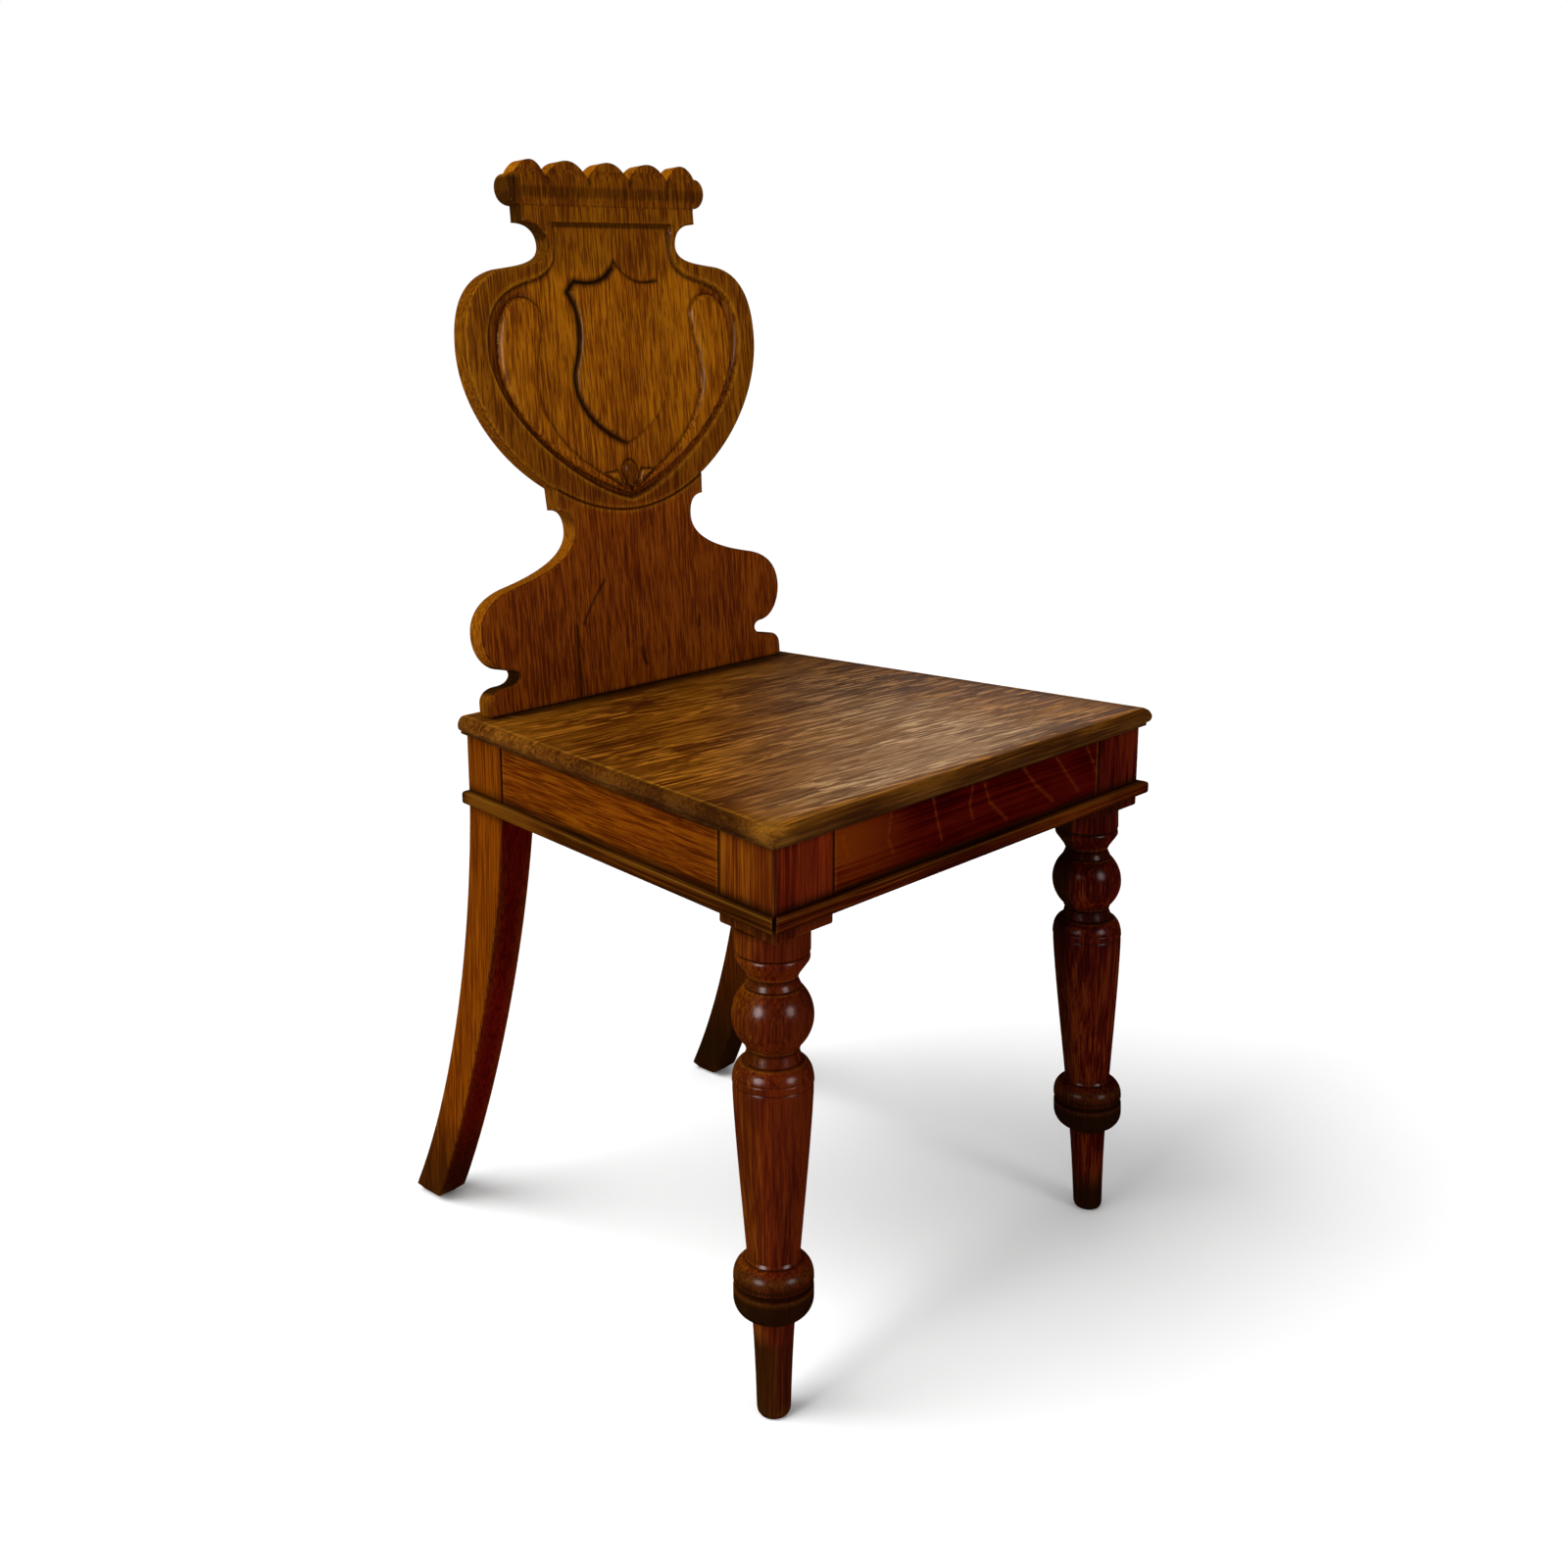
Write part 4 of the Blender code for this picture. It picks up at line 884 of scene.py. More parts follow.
def edge_marks(height, falls, at_rear, rub, bowl_dirt):
    """Dirt with painted shade, wear with a painted highlight, and redness on one ring round the edge."""
    lobed = rising(height, 0.422, 0.006)
    shoulder = rising(height, 0.040, 0.006) * falling(height, 0.150, 0.010)
    notch = rising(height, 0.014, 0.006) * (1 - rising(height, 0.038, 0.005))
    # the foot joint, and painted shade on the edges off the bowl, most under the crest and in the notch
    off_bowl = strongest(
        0.9 * bell(height, 0.0022),
        (0.50 - 0.25 * shoulder) * (1 - lobed),
        0.85 * rising(height, 0.368, 0.010) * (1 - lobed),
        0.92 * notch,
    )
    on_bowl = rising(height, 0.160, 0.01) * falling(height, 0.350, 0.01)
    dirt = off_bowl * (1 - on_bowl) + bowl_dirt * on_bowl
    if at_rear:
        dirt = np.full(len(height), bowl_dirt)
    # no rub on edges that face down: a painted highlight on those that face up
    return dirt, 0.5 * rub * ease(falls + 0.8), 0.3 * low_red(height)


def make_back():
    outline = back_outline()
    count = len(outline)
    flat, faces, sources = triangulated(board_points(outline), count)
    number = {old: new for new, olds in enumerate(sources) for old in olds}
    m = measured(flat, outline)
    points = [to_chair(m.x, relief(m), m.s)]
    marks = [(board_dirt(m), board_wear(m), board_red(m))]
    rings = [[number[i] for i in range(count)]]
    total = len(flat)
    inward = offsets(outline, (1.0,))[0] - outline
    for back, inset, rub, bowl_dirt in EDGE_RINGS:
        row = outline + inward * inset
        points.append(to_chair(row[:, 0], np.full(count, back), row[:, 1]))
        marks.append(edge_marks(outline[:, 1], -inward[:, 1], inset > 0, rub, bowl_dirt))
        rings.append(list(range(total, total + count)))
        total += count
    for a, b in zip(rings, rings[1:]):
        for i in range(count):
            j = (i + 1) % count
            faces.append([a[i], a[j], b[j], b[i]])
    _, rear_faces, sources = triangulated(outline + inward * ARRIS, count)
    for face in rear_faces:
        if all(sources[v] for v in face):
            faces.append([rings[-1][sources[v][0]] for v in face])
    dirt, wear, red = (np.concatenate(rows) for rows in zip(*marks))
    piece(
        "carved_back", np.concatenate(points), faces, oak_back, ["back_board"], "oak_back",
        sharp=38, dirt=dirt, wear=wear, red=red,
    )


# Straight pieces

def rounded_box(low, high, radius, step=0.004):
    """A ring of points round a rectangle with rounded corners, its sides cut into steps."""
    (x0, y0), (x1, y1) = low, high
    corners = ((x1, y1, -1, -1, 0), (x0, y1, 1, -1, 90), (x0, y0, 1, 1, 180), (x1, y0, -1, 1, 270))
    ring = []
    for x, y, left, down, start in corners:
        turns = np.radians(start + np.array([0, 30, 60, 90]))
        middle = (x + left * radius, y + down * radius)
        bend = np.stack([middle[0] + radius * np.cos(turns), middle[1] + radius * np.sin(turns)], 1)
        if ring:
            ring += list(line(ring[-1], bend[0], step))[:-1]
        ring += list(bend)
    ring += list(line(ring[-1], ring[0], step))[:-1]
    return np.array(ring)


def swept(section, stops, place):
    """Rings of a section of (out, height) points at stops of (along, inset)."""
    low, high = section.min(0), section.max(0)
    rings, along = [], []
    for a, inset in stops:
        ring = np.clip(section, low + inset, high - inset)
        rings.append(place(a, ring[:, 0], ring[:, 1]))
        along.append(np.full(len(ring), a))
    heights = np.concatenate([ring[:, 2] for ring in rings])
    return rings, np.concatenate(along), heights


def stations(start, end, count, inset=0.0006):
    """Places along a piece, closer and drawn in at both ends."""
    ends = [(start, inset), (start + inset * 0.5, inset * 0.3), (start + inset * 1.2, 0)]
    ends += [(start + 0.002, 0), (start + 0.004, 0)]
    middle = [(a, 0) for a in np.linspace(start + 0.008, end - 0.008, count)]
    return ends + middle + [(start + end - a, i) for a, i in reversed(ends)]


def front_place(x, out, height):
    return np.stack([np.full(len(out), x), FRONT_Y + out, height], 1)


def side_place(hand):
    def place(depth, out, height):
        x = hand * (side(depth) - out / math.cos(SPLAY))
        return np.stack([x, np.full(len(out), FRONT_Y + depth), height], 1)
    return place


def rail_stain(along, heights, ends):
    """Painted shadow under the seat and painted shade above the bead, dirt in the joints,
    with a rubbed line beside each joint.
    """
    to_end = np.minimum(along - ends[0], ends[1] - along)
    dirt = strongest(
        # painted shadow under the seat's overhang
        0.9 * bell(RAIL_TOP - heights, 0.0022),
        # painted shade in the crease above the bead
        0.95 * bell(heights - BEAD_TOP, 0.0042),
        0.97 * bell(to_end, JOINT_LINE),
    )
    return dirt, 0.45 * bell(to_end - 0.0021, 0.0006)


# Curved pale figure across the front rail: points of (x, height)
RAIL_RAYS = (
    ((-0.1502, 0.4223), (-0.1480, 0.4150), (-0.1449, 0.4080)),
    ((-0.0992, 0.4284), (-0.1025, 0.4098), (-0.0968, 0.3987)),
    ((-0.0528, 0.4291), (-0.0486, 0.4145), (-0.0422, 0.3954)),
    ((-0.0058, 0.4277), (-0.0093, 0.4132), (-0.0049, 0.4020)),
    ((0.0084, 0.4259), (0.0152, 0.4103), (0.0368, 0.3924)),
    ((0.0564, 0.4288), (0.0746, 0.4104), (0.0977, 0.3933)),
    ((0.1003, 0.4277), (0.1172, 0.4094), (0.1320, 0.3940)),
    ((0.1414, 0.4290), (0.1518, 0.4132), (0.1599, 0.3991)),
)
RAIL_ARRIS = 0.0006


def make_front_rail():
    end = APRON_HALF - FRONT_BLOCK - GAP
    section = rounded_box((0, RAIL_BOTTOM), (RAIL_THICKNESS, RAIL_TOP), RAIL_ARRIS, 0.0016)
    rings, along, heights = swept(section, stations(-end, end, 380), front_place)
    dirt, wear = rail_stain(along, heights, (-end, end))
    flat = np.stack([along, heights], 1)
    gaps = [distance(flat, np.array(chain), closed=False) for chain in RAIL_RAYS]
    ray = 0.25 * bell(np.minimum.reduce(gaps), 0.0013)
    points, faces = skin(rings)
    piece(
        "front_rail_board", points, faces, oak_front, ["front_rail"], "oak_front",
        dirt=dirt, wear=wear, ray=ray, red=rising(along, -0.17, 0.11),
    )


def make_side_rail(hand, word):
    section = rounded_box((0, RAIL_BOTTOM), (RAIL_THICKNESS, RAIL_TOP), RAIL_ARRIS)
    ends = (FRONT_BLOCK + GAP, REAR_BLOCK_FRONT - GAP)
    rings, along, heights = swept(section, stations(*ends, 50), side_place(hand))
    dirt, wear = rail_stain(along, heights, ends)
    points, faces = skin(rings)
    piece(
        f"side_rail_board_{word}", points, faces, oak_side[hand], [f"side_rail_{word}"], "oak_side",
        dirt=dirt, wear=wear, red=0.20 * falling(along, 0.20, 0.14),
    )


BEAD_FLATNESS = 5.0
BEAD_COUNT = 30


def bead_section():
    """Projection and height round the bead, flatter on its face than a circle."""
    turns = np.radians(np.linspace(-88, 88, BEAD_COUNT))
    power = 2 / BEAD_FLATNESS
    out = GAP + (MOULDING_PROJECTION - GAP) * np.cos(turns) ** power
    half = MOULDING_HEIGHT / 2
    height = RAIL_BOTTOM + half + half * np.sign(np.sin(turns)) * np.abs(np.sin(turns)) ** power
    back = [(GAP, RAIL_BOTTOM + MOULDING_HEIGHT), (GAP, RAIL_BOTTOM)]
    return np.concatenate([np.stack([out, height], 1), back])


# Shares of a bead's length at which it has a ring, closer at its ends
BEAD_SHARES = np.concatenate([[0, 0.002, 0.006], np.linspace(0.012, 0.988, 60), [0.994, 0.998, 1]])


def bead_stain(section):
    out, height = section[:, 0], section[:, 1]
    wear = 0.55 * bell(height - BEAD_TOP + 0.0005, 0.0006) * (out > MOULDING_PROJECTION * 0.6)
    # painted shade where the bead meets the rail and along its underside
    dirt = 0.9 * bell(out - GAP, 0.0016) + 0.5 * bell(height - RAIL_BOTTOM, 0.0020)
    repeats = len(BEAD_SHARES)
    return np.clip(np.tile(dirt, repeats), 0, 1), np.tile(wear, repeats)


def front_bead_place(share, out):
    mitre = side(-out) + out / math.cos(SPLAY)
    x = -(mitre - MITRE_OPEN) + share * (2 * mitre - MITRE_OPEN - MITRE_CLOSED)
    return x, FRONT_Y - out


def side_bead_place(hand):
    def place(share, out):
        start = MITRE_OPEN - out
        depth = start + share * (APRON_DEPTH - start)
        return hand * (side(depth) + out / math.cos(SPLAY)), FRONT_Y + depth
    return place


def make_bead(word, material, place, rub, rear_dirt):
    """A bead with a ring at each share of its length; rub is the share that is rubbed at its start."""
    section = bead_section()
    out, height = section.T
    points, faces = skin([np.stack([*place(share, out), height], 1) for share in BEAD_SHARES])
    along = np.repeat(BEAD_SHARES, len(section))
    dirt, wear = bead_stain(section)
    piece(
        f"bead_{word}", points, faces, material, [f"apron_moulding_{word}"], "oak_side",
        dirt=strongest(dirt, rear_dirt * bell(1 - along, 0.012)),
        wear=strongest(wear, 0.25 * bell(along, rub)),
    )


# Seat

def seat_plan(inset, corner):
    """The seat's outline drawn in by inset, with its two front corners rounded."""
    edge = inset - SEAT_OVERHANG
    rear = APRON_DEPTH + SEAT_REAR_OVERHANG
    half_front = side(edge) - edge / math.cos(SPLAY)
    half_rear = side(rear) - edge / math.cos(SPLAY)
    slant = np.array([half_rear - half_front, rear - edge])
    slant /= np.linalg.norm(slant)
    corner_point = np.array([half_front, edge])
    share = np.linspace(0, 1, 9)[:, None]
    begin, finish = corner_point - (corner, 0), corner_point + slant * corner
    bend = (1 - share) ** 2 * begin + 2 * share * (1 - share) * corner_point + share ** 2 * finish
    front = np.stack([np.linspace(0, begin[0], 56), np.full(56, edge)], 1)[:-1]
    right = np.stack([np.linspace(finish[0], half_rear, 90), np.linspace(finish[1], rear, 90)], 1)[1:]
    back = np.stack([np.linspace(half_rear, 0, 40), np.full(40, rear)], 1)[1:]
    half = np.concatenate([front, bend, right, back])
    return np.concatenate([half, half[::-1][1:-1] * (-1, 1)])


# Shares of the rim's size at which the top has a ring, and the chip out of the nose
TOP_SHARES = (0.985, 0.965, 0.94, 0.9, 0.84, 0.76, 0.66, 0.55, 0.43, 0.31, 0.19, 0.08, 0.01)
CHIP_PLACE = (-0.217, 0.004)
CHIP_SIZE = 0.011
CHIP_DROP = 0.0018
CHIP_SHIFT = 0.00112
SEAT_CORNER = 0.004


def seat_rings():
    """Rings up the nose, then in over the top."""
    levels = [(NOSE_FILLET_SETBACK, SEAT_BOTTOM), (NOSE_FILLET_SETBACK, SEAT_BOTTOM + NOSE_FILLET_HEIGHT)]
    for inward, rise, turns in (
        (NOSE_FILLET_SETBACK, NOSE_BELLY_HEIGHT - NOSE_FILLET_HEIGHT, (-75, -50, -25, 0)),
        (NOSE_DEPTH, SEAT_HEIGHT - SEAT_BELLY, (12, 24, 36, 48, 60, 72, 82, 90)),
    ):
        for turn in np.radians(turns):
            levels.append((inward * (1 - math.cos(turn)), SEAT_BELLY + rise * math.sin(turn)))
    rings = [level_ring(seat_plan(inset, SEAT_CORNER) + (0, FRONT_Y), height) for inset, height in levels]
    rim = rings[-1]
    middle = np.array([0, (rim[:, 1].max() + rim[:, 1].min()) / 2, SEAT_HEIGHT])
    return rings + [middle + (rim - middle) * share for share in TOP_SHARES]


def seat_stain(points):
    """Dirt, wear with a painted highlight along the nose, greyness that also paints the seat's sheen,
    and the share of the chip at each point.
    """
    x, y, z = points.T
    depth = y - FRONT_Y
    edge_front = depth + SEAT_OVERHANG
    edge_side = (side(depth) - np.abs(x)) * math.cos(SPLAY) + SEAT_OVERHANG
    edge = np.minimum(edge_front, edge_side)
    top = z > SEAT_HEIGHT - 0.001
    chip = bell(np.hypot(x - CHIP_PLACE[0], (depth - CHIP_PLACE[1]) * 0.8), CHIP_SIZE)
    on_front = rising(edge_side - edge_front, -0.004, 0.008)
    # a rubbed line along the top of the nose, also a painted highlight
    nose_line = bell(edge - 0.0060, 0.0011) * (z > SEAT_BOTTOM + 0.006)
    wear = strongest((0.50 - 0.05 * on_front) * nose_line, 0.85 * chip)
    nose_dirt = 0.62 - 0.14 * on_front - 0.34 * rising(depth, 0.08, 0.20)
    dirt = strongest(
        0.8 * bell(z - SEAT_BOTTOM, 0.0028),
        0.75 * bell(depth - BACK_SETBACK + 0.002, 0.006) * (np.abs(x) < 0.169) * top,
        0.35 * bell(edge_side - 0.011, 0.0022) * top,
        nose_dirt * (1 - chip) * falling(edge, 0.0062, 0.002),
    )
    # rubbed bare grey, which also paints the seat's sheen; less of it on the right
    grey = rising((x - depth + 0.21) * 0.75, -0.07, 0.20) * rising(edge, 0.008, 0.012)
    grey *= 1 - 0.72 * rising(x, 0.05, 0.12)
    grey *= 1 + 0.45 * falling(depth, 0.12, 0.08) * falling(x, 0.10, 0.10)
    return dirt, wear, grey, chip


def make_seat():
    points, faces = skin(seat_rings())
    dirt, wear, grey, chip = seat_stain(points)
    points[:, 2] -= CHIP_DROP * chip * rising(points[:, 2], SEAT_BELLY, 0.004)
    points[:, :2] += CHIP_SHIFT * chip[:, None]
    piece(
        "seat_plank", points, faces, oak_seat, ["seat_board"], "oak_seat",
        sharp=40, dirt=dirt, wear=wear, grey=grey,
    )


# Legs

def arc(middle, half, core, swell, start, end, count):
    """Turned points on an ellipse that stands swell out from core."""
    turns = np.radians(np.linspace(start, end, count))
    return [(core + swell * math.cos(a), middle + half * math.sin(a)) for a in turns]


def neck(radii, top, bottom):
    """A thin fillet, a dark groove and a flare down to the crease above the next swelling."""
    core, flare = radii
    return [
        (core + 0.0010, top),
        (core + 0.0010, top - 0.0007),
        (core - 0.0006, top - 0.0012),
        (core - 0.0005, top - 0.0028),
        (core + 0.0003, top - 0.0034),
        ((core + flare) / 2, (top + bottom) / 2 - 0.001),
        (flare + 0.0001, bottom + 0.0010),
        (flare + 0.0002, bottom + 0.0005),
        (flare - 0.0005, bottom),
    ]


def collar_points():
    """The plain collar under the block and the ovolo below it."""
    length = COLLAR_END - BLOCK_BOTTOM
    points = [(COLLAR_RADIUS + 0.0006, BLOCK_BOTTOM), (COLLAR_RADIUS, BLOCK_BOTTOM - 0.001)]
    points += [(COLLAR_RADIUS, BLOCK_BOTTOM + length * share) for share in (0.3, 0.6, 0.9)]
    points += [(COLLAR_RADIUS - 0.0003, COLLAR_END + 0.0008), (COLLAR_RADIUS - 0.0015, COLLAR_END)]
    core = COLLAR_RADIUS - 0.0003 - OVOLO_ROUND
    points += arc(COLLAR_END - 0.0034, OVOLO_ROUND, core, OVOLO_ROUND, 44, -35, 16)
    slope_end = (UPPER_NECK[0] + 0.0012, OVOLO_END + 0.0004)
    return points + [tuple(p) for p in line(points[-1], slope_end, 0.0016)]


def vase_points():
    """The vase with its scribed line, then the long taper, which swells a little."""
    vase = np.array(arc(VASE_END, VASE_LENGTH, LOWER_NECK[1], VASE_RADIUS - LOWER_NECK[1], 74, 0, 42))
    vase[:, 0] -= 0.0005 * bell(vase[:, 1] - VASE_LINE, 0.0005)
    start = (VASE_RADIUS - 0.0004, VASE_END - 0.0016)
    points = [tuple(p) for p in vase] + [(VASE_RADIUS - 0.0009, VASE_END - 0.0008), start]
    for share in np.linspace(0.04, 0.985, 32):
        swell = TAPER_SWELL * share ** 0.6 * (1 - share) ** 1.4 / 0.295
        radius = start[0] + (TAPER_RADIUS - start[0]) * share + swell
        points.append((radius, start[1] + (RING_TOP - start[1]) * share))
    return points


def ring_points():
    """The ring above the toe, with the groove round it."""
    upper, lower = RING_GROOVE_HEIGHT + 0.0022, RING_GROOVE_HEIGHT - 0.0022
    points = [
        (TAPER_RADIUS + 0.0010, RING_TOP + 0.0006),
        (TAPER_RADIUS + 0.0013, RING_TOP),
        (TAPER_RADIUS + 0.0009, RING_TOP - 0.0007),
    ]
    shoulder = RING_TOP - RING_SHOULDER
    points += arc(shoulder, RING_SHOULDER - 0.0009, TAPER_RADIUS, RING_RADIUS - TAPER_RADIUS, 72, 0, 20)
    points += [
        (RING_RADIUS, upper + 0.0007),
        (RING_RADIUS - 0.0006, upper),
        (RING_RADIUS - 0.0030, upper - 0.0008),
        (RING_RADIUS - 0.0030, lower + 0.0010),
        (RING_RADIUS - 0.0007, lower + 0.0003),
        (RING_RADIUS, lower - 0.0006),
        (RING_RADIUS, (lower + RING_CUP_HEIGHT) / 2),
    ]
    cup = RING_CUP_HEIGHT - TOE_TOP
    return points + arc(RING_CUP_HEIGHT, cup, TOE_RADIUS, RING_RADIUS - TOE_RADIUS, 0, -80, 20)


def toe_points():
    start = (TOE_RADIUS - 0.0004, TOE_TOP - 0.001)
    waist = ((TOE_WAIST_RADIUS + 0.0009, 0.058), (TOE_WAIST_RADIUS, 0.040))
    toe = curve(start, *waist, (TOE_END_RADIUS, 0.0050), step=0.003)
    return [
        (TOE_RADIUS + 0.0002, TOE_TOP - 0.0004),
        start,
        *(tuple(p) for p in toe),
        (TOE_END_RADIUS - 0.0006, 0.0026),
        (TOE_END_RADIUS - 0.0018, 0.0009),
        (TOE_END_RADIUS - 0.0034, 0.0),
    ]


def turning():
    """Radius and height down a front leg, below its block."""
    first, last = np.degrees(BALL_TURNS)
    ball = arc(BALL_MID, BALL_RADIUS, 0, BALL_RADIUS, first - 0.8, last + 0.8, 44)
    upper = neck(UPPER_NECK, OVOLO_END, BALL_TOP)
    lower = neck(LOWER_NECK, BALL_END, VASE_TOP)
    return np.array(collar_points() + upper + ball + lower + vase_points() + ring_points() + toe_points())


# Dark lines down a front leg: height, half width and darkness; the first two are painted shadow under the
# seat and under the block
LEG_LINES = (
    (RAIL_TOP, 0.0022, 0.9),
    (BLOCK_BOTTOM, 0.0050, 0.55),
    (COLLAR_END, 0.0009, 1.0),
    (OVOLO_END - 0.0020, 0.0014, 0.95),
    (BALL_TOP, 0.0008, 0.85),
    (BALL_END - 0.0020, 0.0015, 0.95),
    (VASE_TOP, 0.0008, 0.80),
    (VASE_LINE, 0.0005, 0.50),
    (VASE_END - 0.0008, 0.0008, 0.70),
    (RING_TOP + 0.0016, 0.0006, 0.60),
    (RING_TOP - 0.0006, 0.0009, 0.80),
    (0.1070, 0.0035, 0.92),
    (RING_GROOVE_HEIGHT, 0.0042, 1.0),
    (TOE_TOP, 0.0030, 0.9),
    (0.001, 0.004, 0.5),
)
# Rubbed lines down it: height, half width and amount
LEG_RUBS = (
    (OVOLO_END - 0.0002, 0.0005, 0.30),
    (BALL_TOP - 0.0009, 0.0005, 0.30),
    (BALL_END - 0.0002, 0.0005, 0.30),
    (VASE_TOP - 0.0009, 0.0005, 0.30),
    (0.1135, 0.0026, 0.30),
    (0.0988, 0.0007, 0.55),
    (0.005, 0.004, 0.30),
)
NECKS = ((OVOLO_END, BALL_TOP), (BALL_END, VASE_TOP))


def leg_stain(z):
    """Dirt and wear by height down a front leg, with painted shadow under the seat and under the block."""
    ring = rising(z, TOE_TOP - 0.002, 0.004)
    dirt = strongest(
        *(amount * bell(z - height, width) for height, width, amount in LEG_LINES),
        *(0.52 * falling(z, top, 0.001) * rising(z, bottom, 0.001) for top, bottom in NECKS),
        0.10 * falling(z, BLOCK_BOTTOM, 0.003),
        0.66 * falling(z, RING_TOP, 0.006) * ring,
        0.95 * falling(z, RING_GROOVE_HEIGHT, 0.004) * ring,
    )
    return dirt, strongest(*(amount * bell(z - height, width) for height, width, amount in LEG_RUBS))


def reach(polygon, directions):
    """How far rays from the origin run to a polygon around it."""
    far = np.full(len(directions), 1e9)
    for a, b in zip(polygon, np.roll(polygon, -1, axis=0)):
        along = b - a
        cross = directions[:, 0] * along[1] - directions[:, 1] * along[0]
        with np.errstate(divide="ignore", invalid="ignore"):
            t = (a[0] * along[1] - a[1] * along[0]) / cross
            u = (a[0] * directions[:, 1] - a[1] * directions[:, 0]) / cross
        hit = (np.abs(cross) > 1e-12) & (t > 0) & (u > -1e-6) & (u < 1 + 1e-6)
        far = np.where(hit, np.minimum(far, t), far)
    return far


def eased_corners(corners, radius):
    """A polygon with each corner cut back to three points."""
    corners = np.array(corners, float)
    points = []
    for before, here, after in zip(np.roll(corners, 1, axis=0), corners, np.roll(corners, -1, axis=0)):
        first = here + (before - here) / np.linalg.norm(before - here) * radius
        last = here + (after - here) / np.linalg.norm(after - here) * radius
        points += [first, (first + last) / 4 + here / 2, last]
    return np.array(points)


# Shares of the block's height above the bead at which it has a ring
BLOCK_SHARES = (0.05, 0.12, 0.25, 0.5, 0.75, 0.86, 0.93, 1)


def front_block(hand, axis):
    """The block's plan round the leg's axis."""
    inner = APRON_HALF - FRONT_BLOCK
    plan = [(side(0), 0), (side(FRONT_BLOCK), FRONT_BLOCK), (inner, FRONT_BLOCK), (inner, 0)]
    return eased_corners([(hand * x - axis[0], FRONT_Y + d - axis[1]) for x, d in plan], 0.0008)


def front_leg_rings(hand, axis, rays, far):
    """Rings down the block, then down the turning, which leans outwards."""
    drop = RAIL_TOP - BEAD_TOP
    levels = [(RAIL_TOP, 0.0006), (RAIL_TOP - 0.0006, 0)]
    levels += [(RAIL_TOP - drop * share, 0) for share in BLOCK_SHARES]
    levels += [(RAIL_BOTTOM, 0), (BLOCK_BOTTOM + 0.0018, 0)]
    levels += [(BLOCK_BOTTOM + 0.0006, 0.0005), (BLOCK_BOTTOM, 0.0018)]
    rings = []
    for height, inset in levels:
        rings.append(level_ring(axis + rays * (far - inset)[:, None], height))
    for radius, height in turning():
        lean = (1 - height / BLOCK_BOTTOM) * FRONT_LEG_SPLAY
        rings.append(level_ring(axis + rays * radius + (hand * lean, -lean), height))
    return rings


def block_stain(hand, points, dirt, wear):
    """Adds the block's own marks: painted shade above the bead and painted shadow below it, dark joints,
    and lines on the outer corner.
    """
    z = points[:, 2]
    depth = points[:, 1] - FRONT_Y
    out = hand * points[:, 0]
    high = z > RAIL_BOTTOM
    rear_joint = bell(FRONT_BLOCK - depth, JOINT_LINE) * (out > side(0.05) - 0.006)
    inner_joint = bell(out - APRON_HALF + FRONT_BLOCK, JOINT_LINE) * (depth < 0.004)
    corner = np.hypot(out - APRON_HALF, depth)
    dirt = strongest(
        dirt,
        # painted shade in the crease above the bead
        0.95 * bell(z - BEAD_TOP, 0.0042) * high,
        # painted shadow below the bead
        0.75 * bell(z - RAIL_BOTTOM, 0.006),
        0.97 * np.maximum(rear_joint, inner_joint) * high,
        0.75 * bell(corner, 0.0009),
    )
    return dirt, strongest(wear, 0.30 * bell(corner - 0.0016, 0.0008))


def left_turning_stain(z, spread, dirt, wear):
    """The outer side of the left leg is the golden one; towards its front right side it turns redder
    and darker, as stain and painted shade.
    """
    # redder towards the front right, partly as painted shade
    red = 0.12 + 0.78 * rising(spread, -0.85, 0.9)
    on_ball = falling(z, BALL_TOP, 0.004) * rising(z, BALL_END, 0.004)
    # painted shade towards the front right, and a darker ball
    dirt = strongest(dirt, 0.17 + 0.25 * rising(spread, -0.35, 0.5)) + 0.12 * on_ball
    toe_shade = (0.88 - 0.26 * rising(spread, -0.8, 1.2)) * falling(z, 0.074, 0.02)
    toe_wear = 0.22 * bell(spread + 0.02, 0.25) * falling(z, 0.066, 0.02)
    return strongest(np.minimum(1, dirt), toe_shade), strongest(wear, toe_wear), red


def right_turning_stain(z, spread, dirt, wear):
    """Painted shade: the right leg darkens towards the inside of the chair. It is also darker towards its
    foot.
    """
    high = rising(z, 0.25, 0.03)
    # painted shade on the inner side, deeper on the ball and vase
    shade = (0.55 + 0.30 * high) * (1 - rising(spread - 0.12 * high, -0.90, 0.40))
    dirt = strongest(dirt, 0.92 * falling(z, 0.050, 0.035), shade)
    return dirt, wear, np.full(len(z), 0.35)


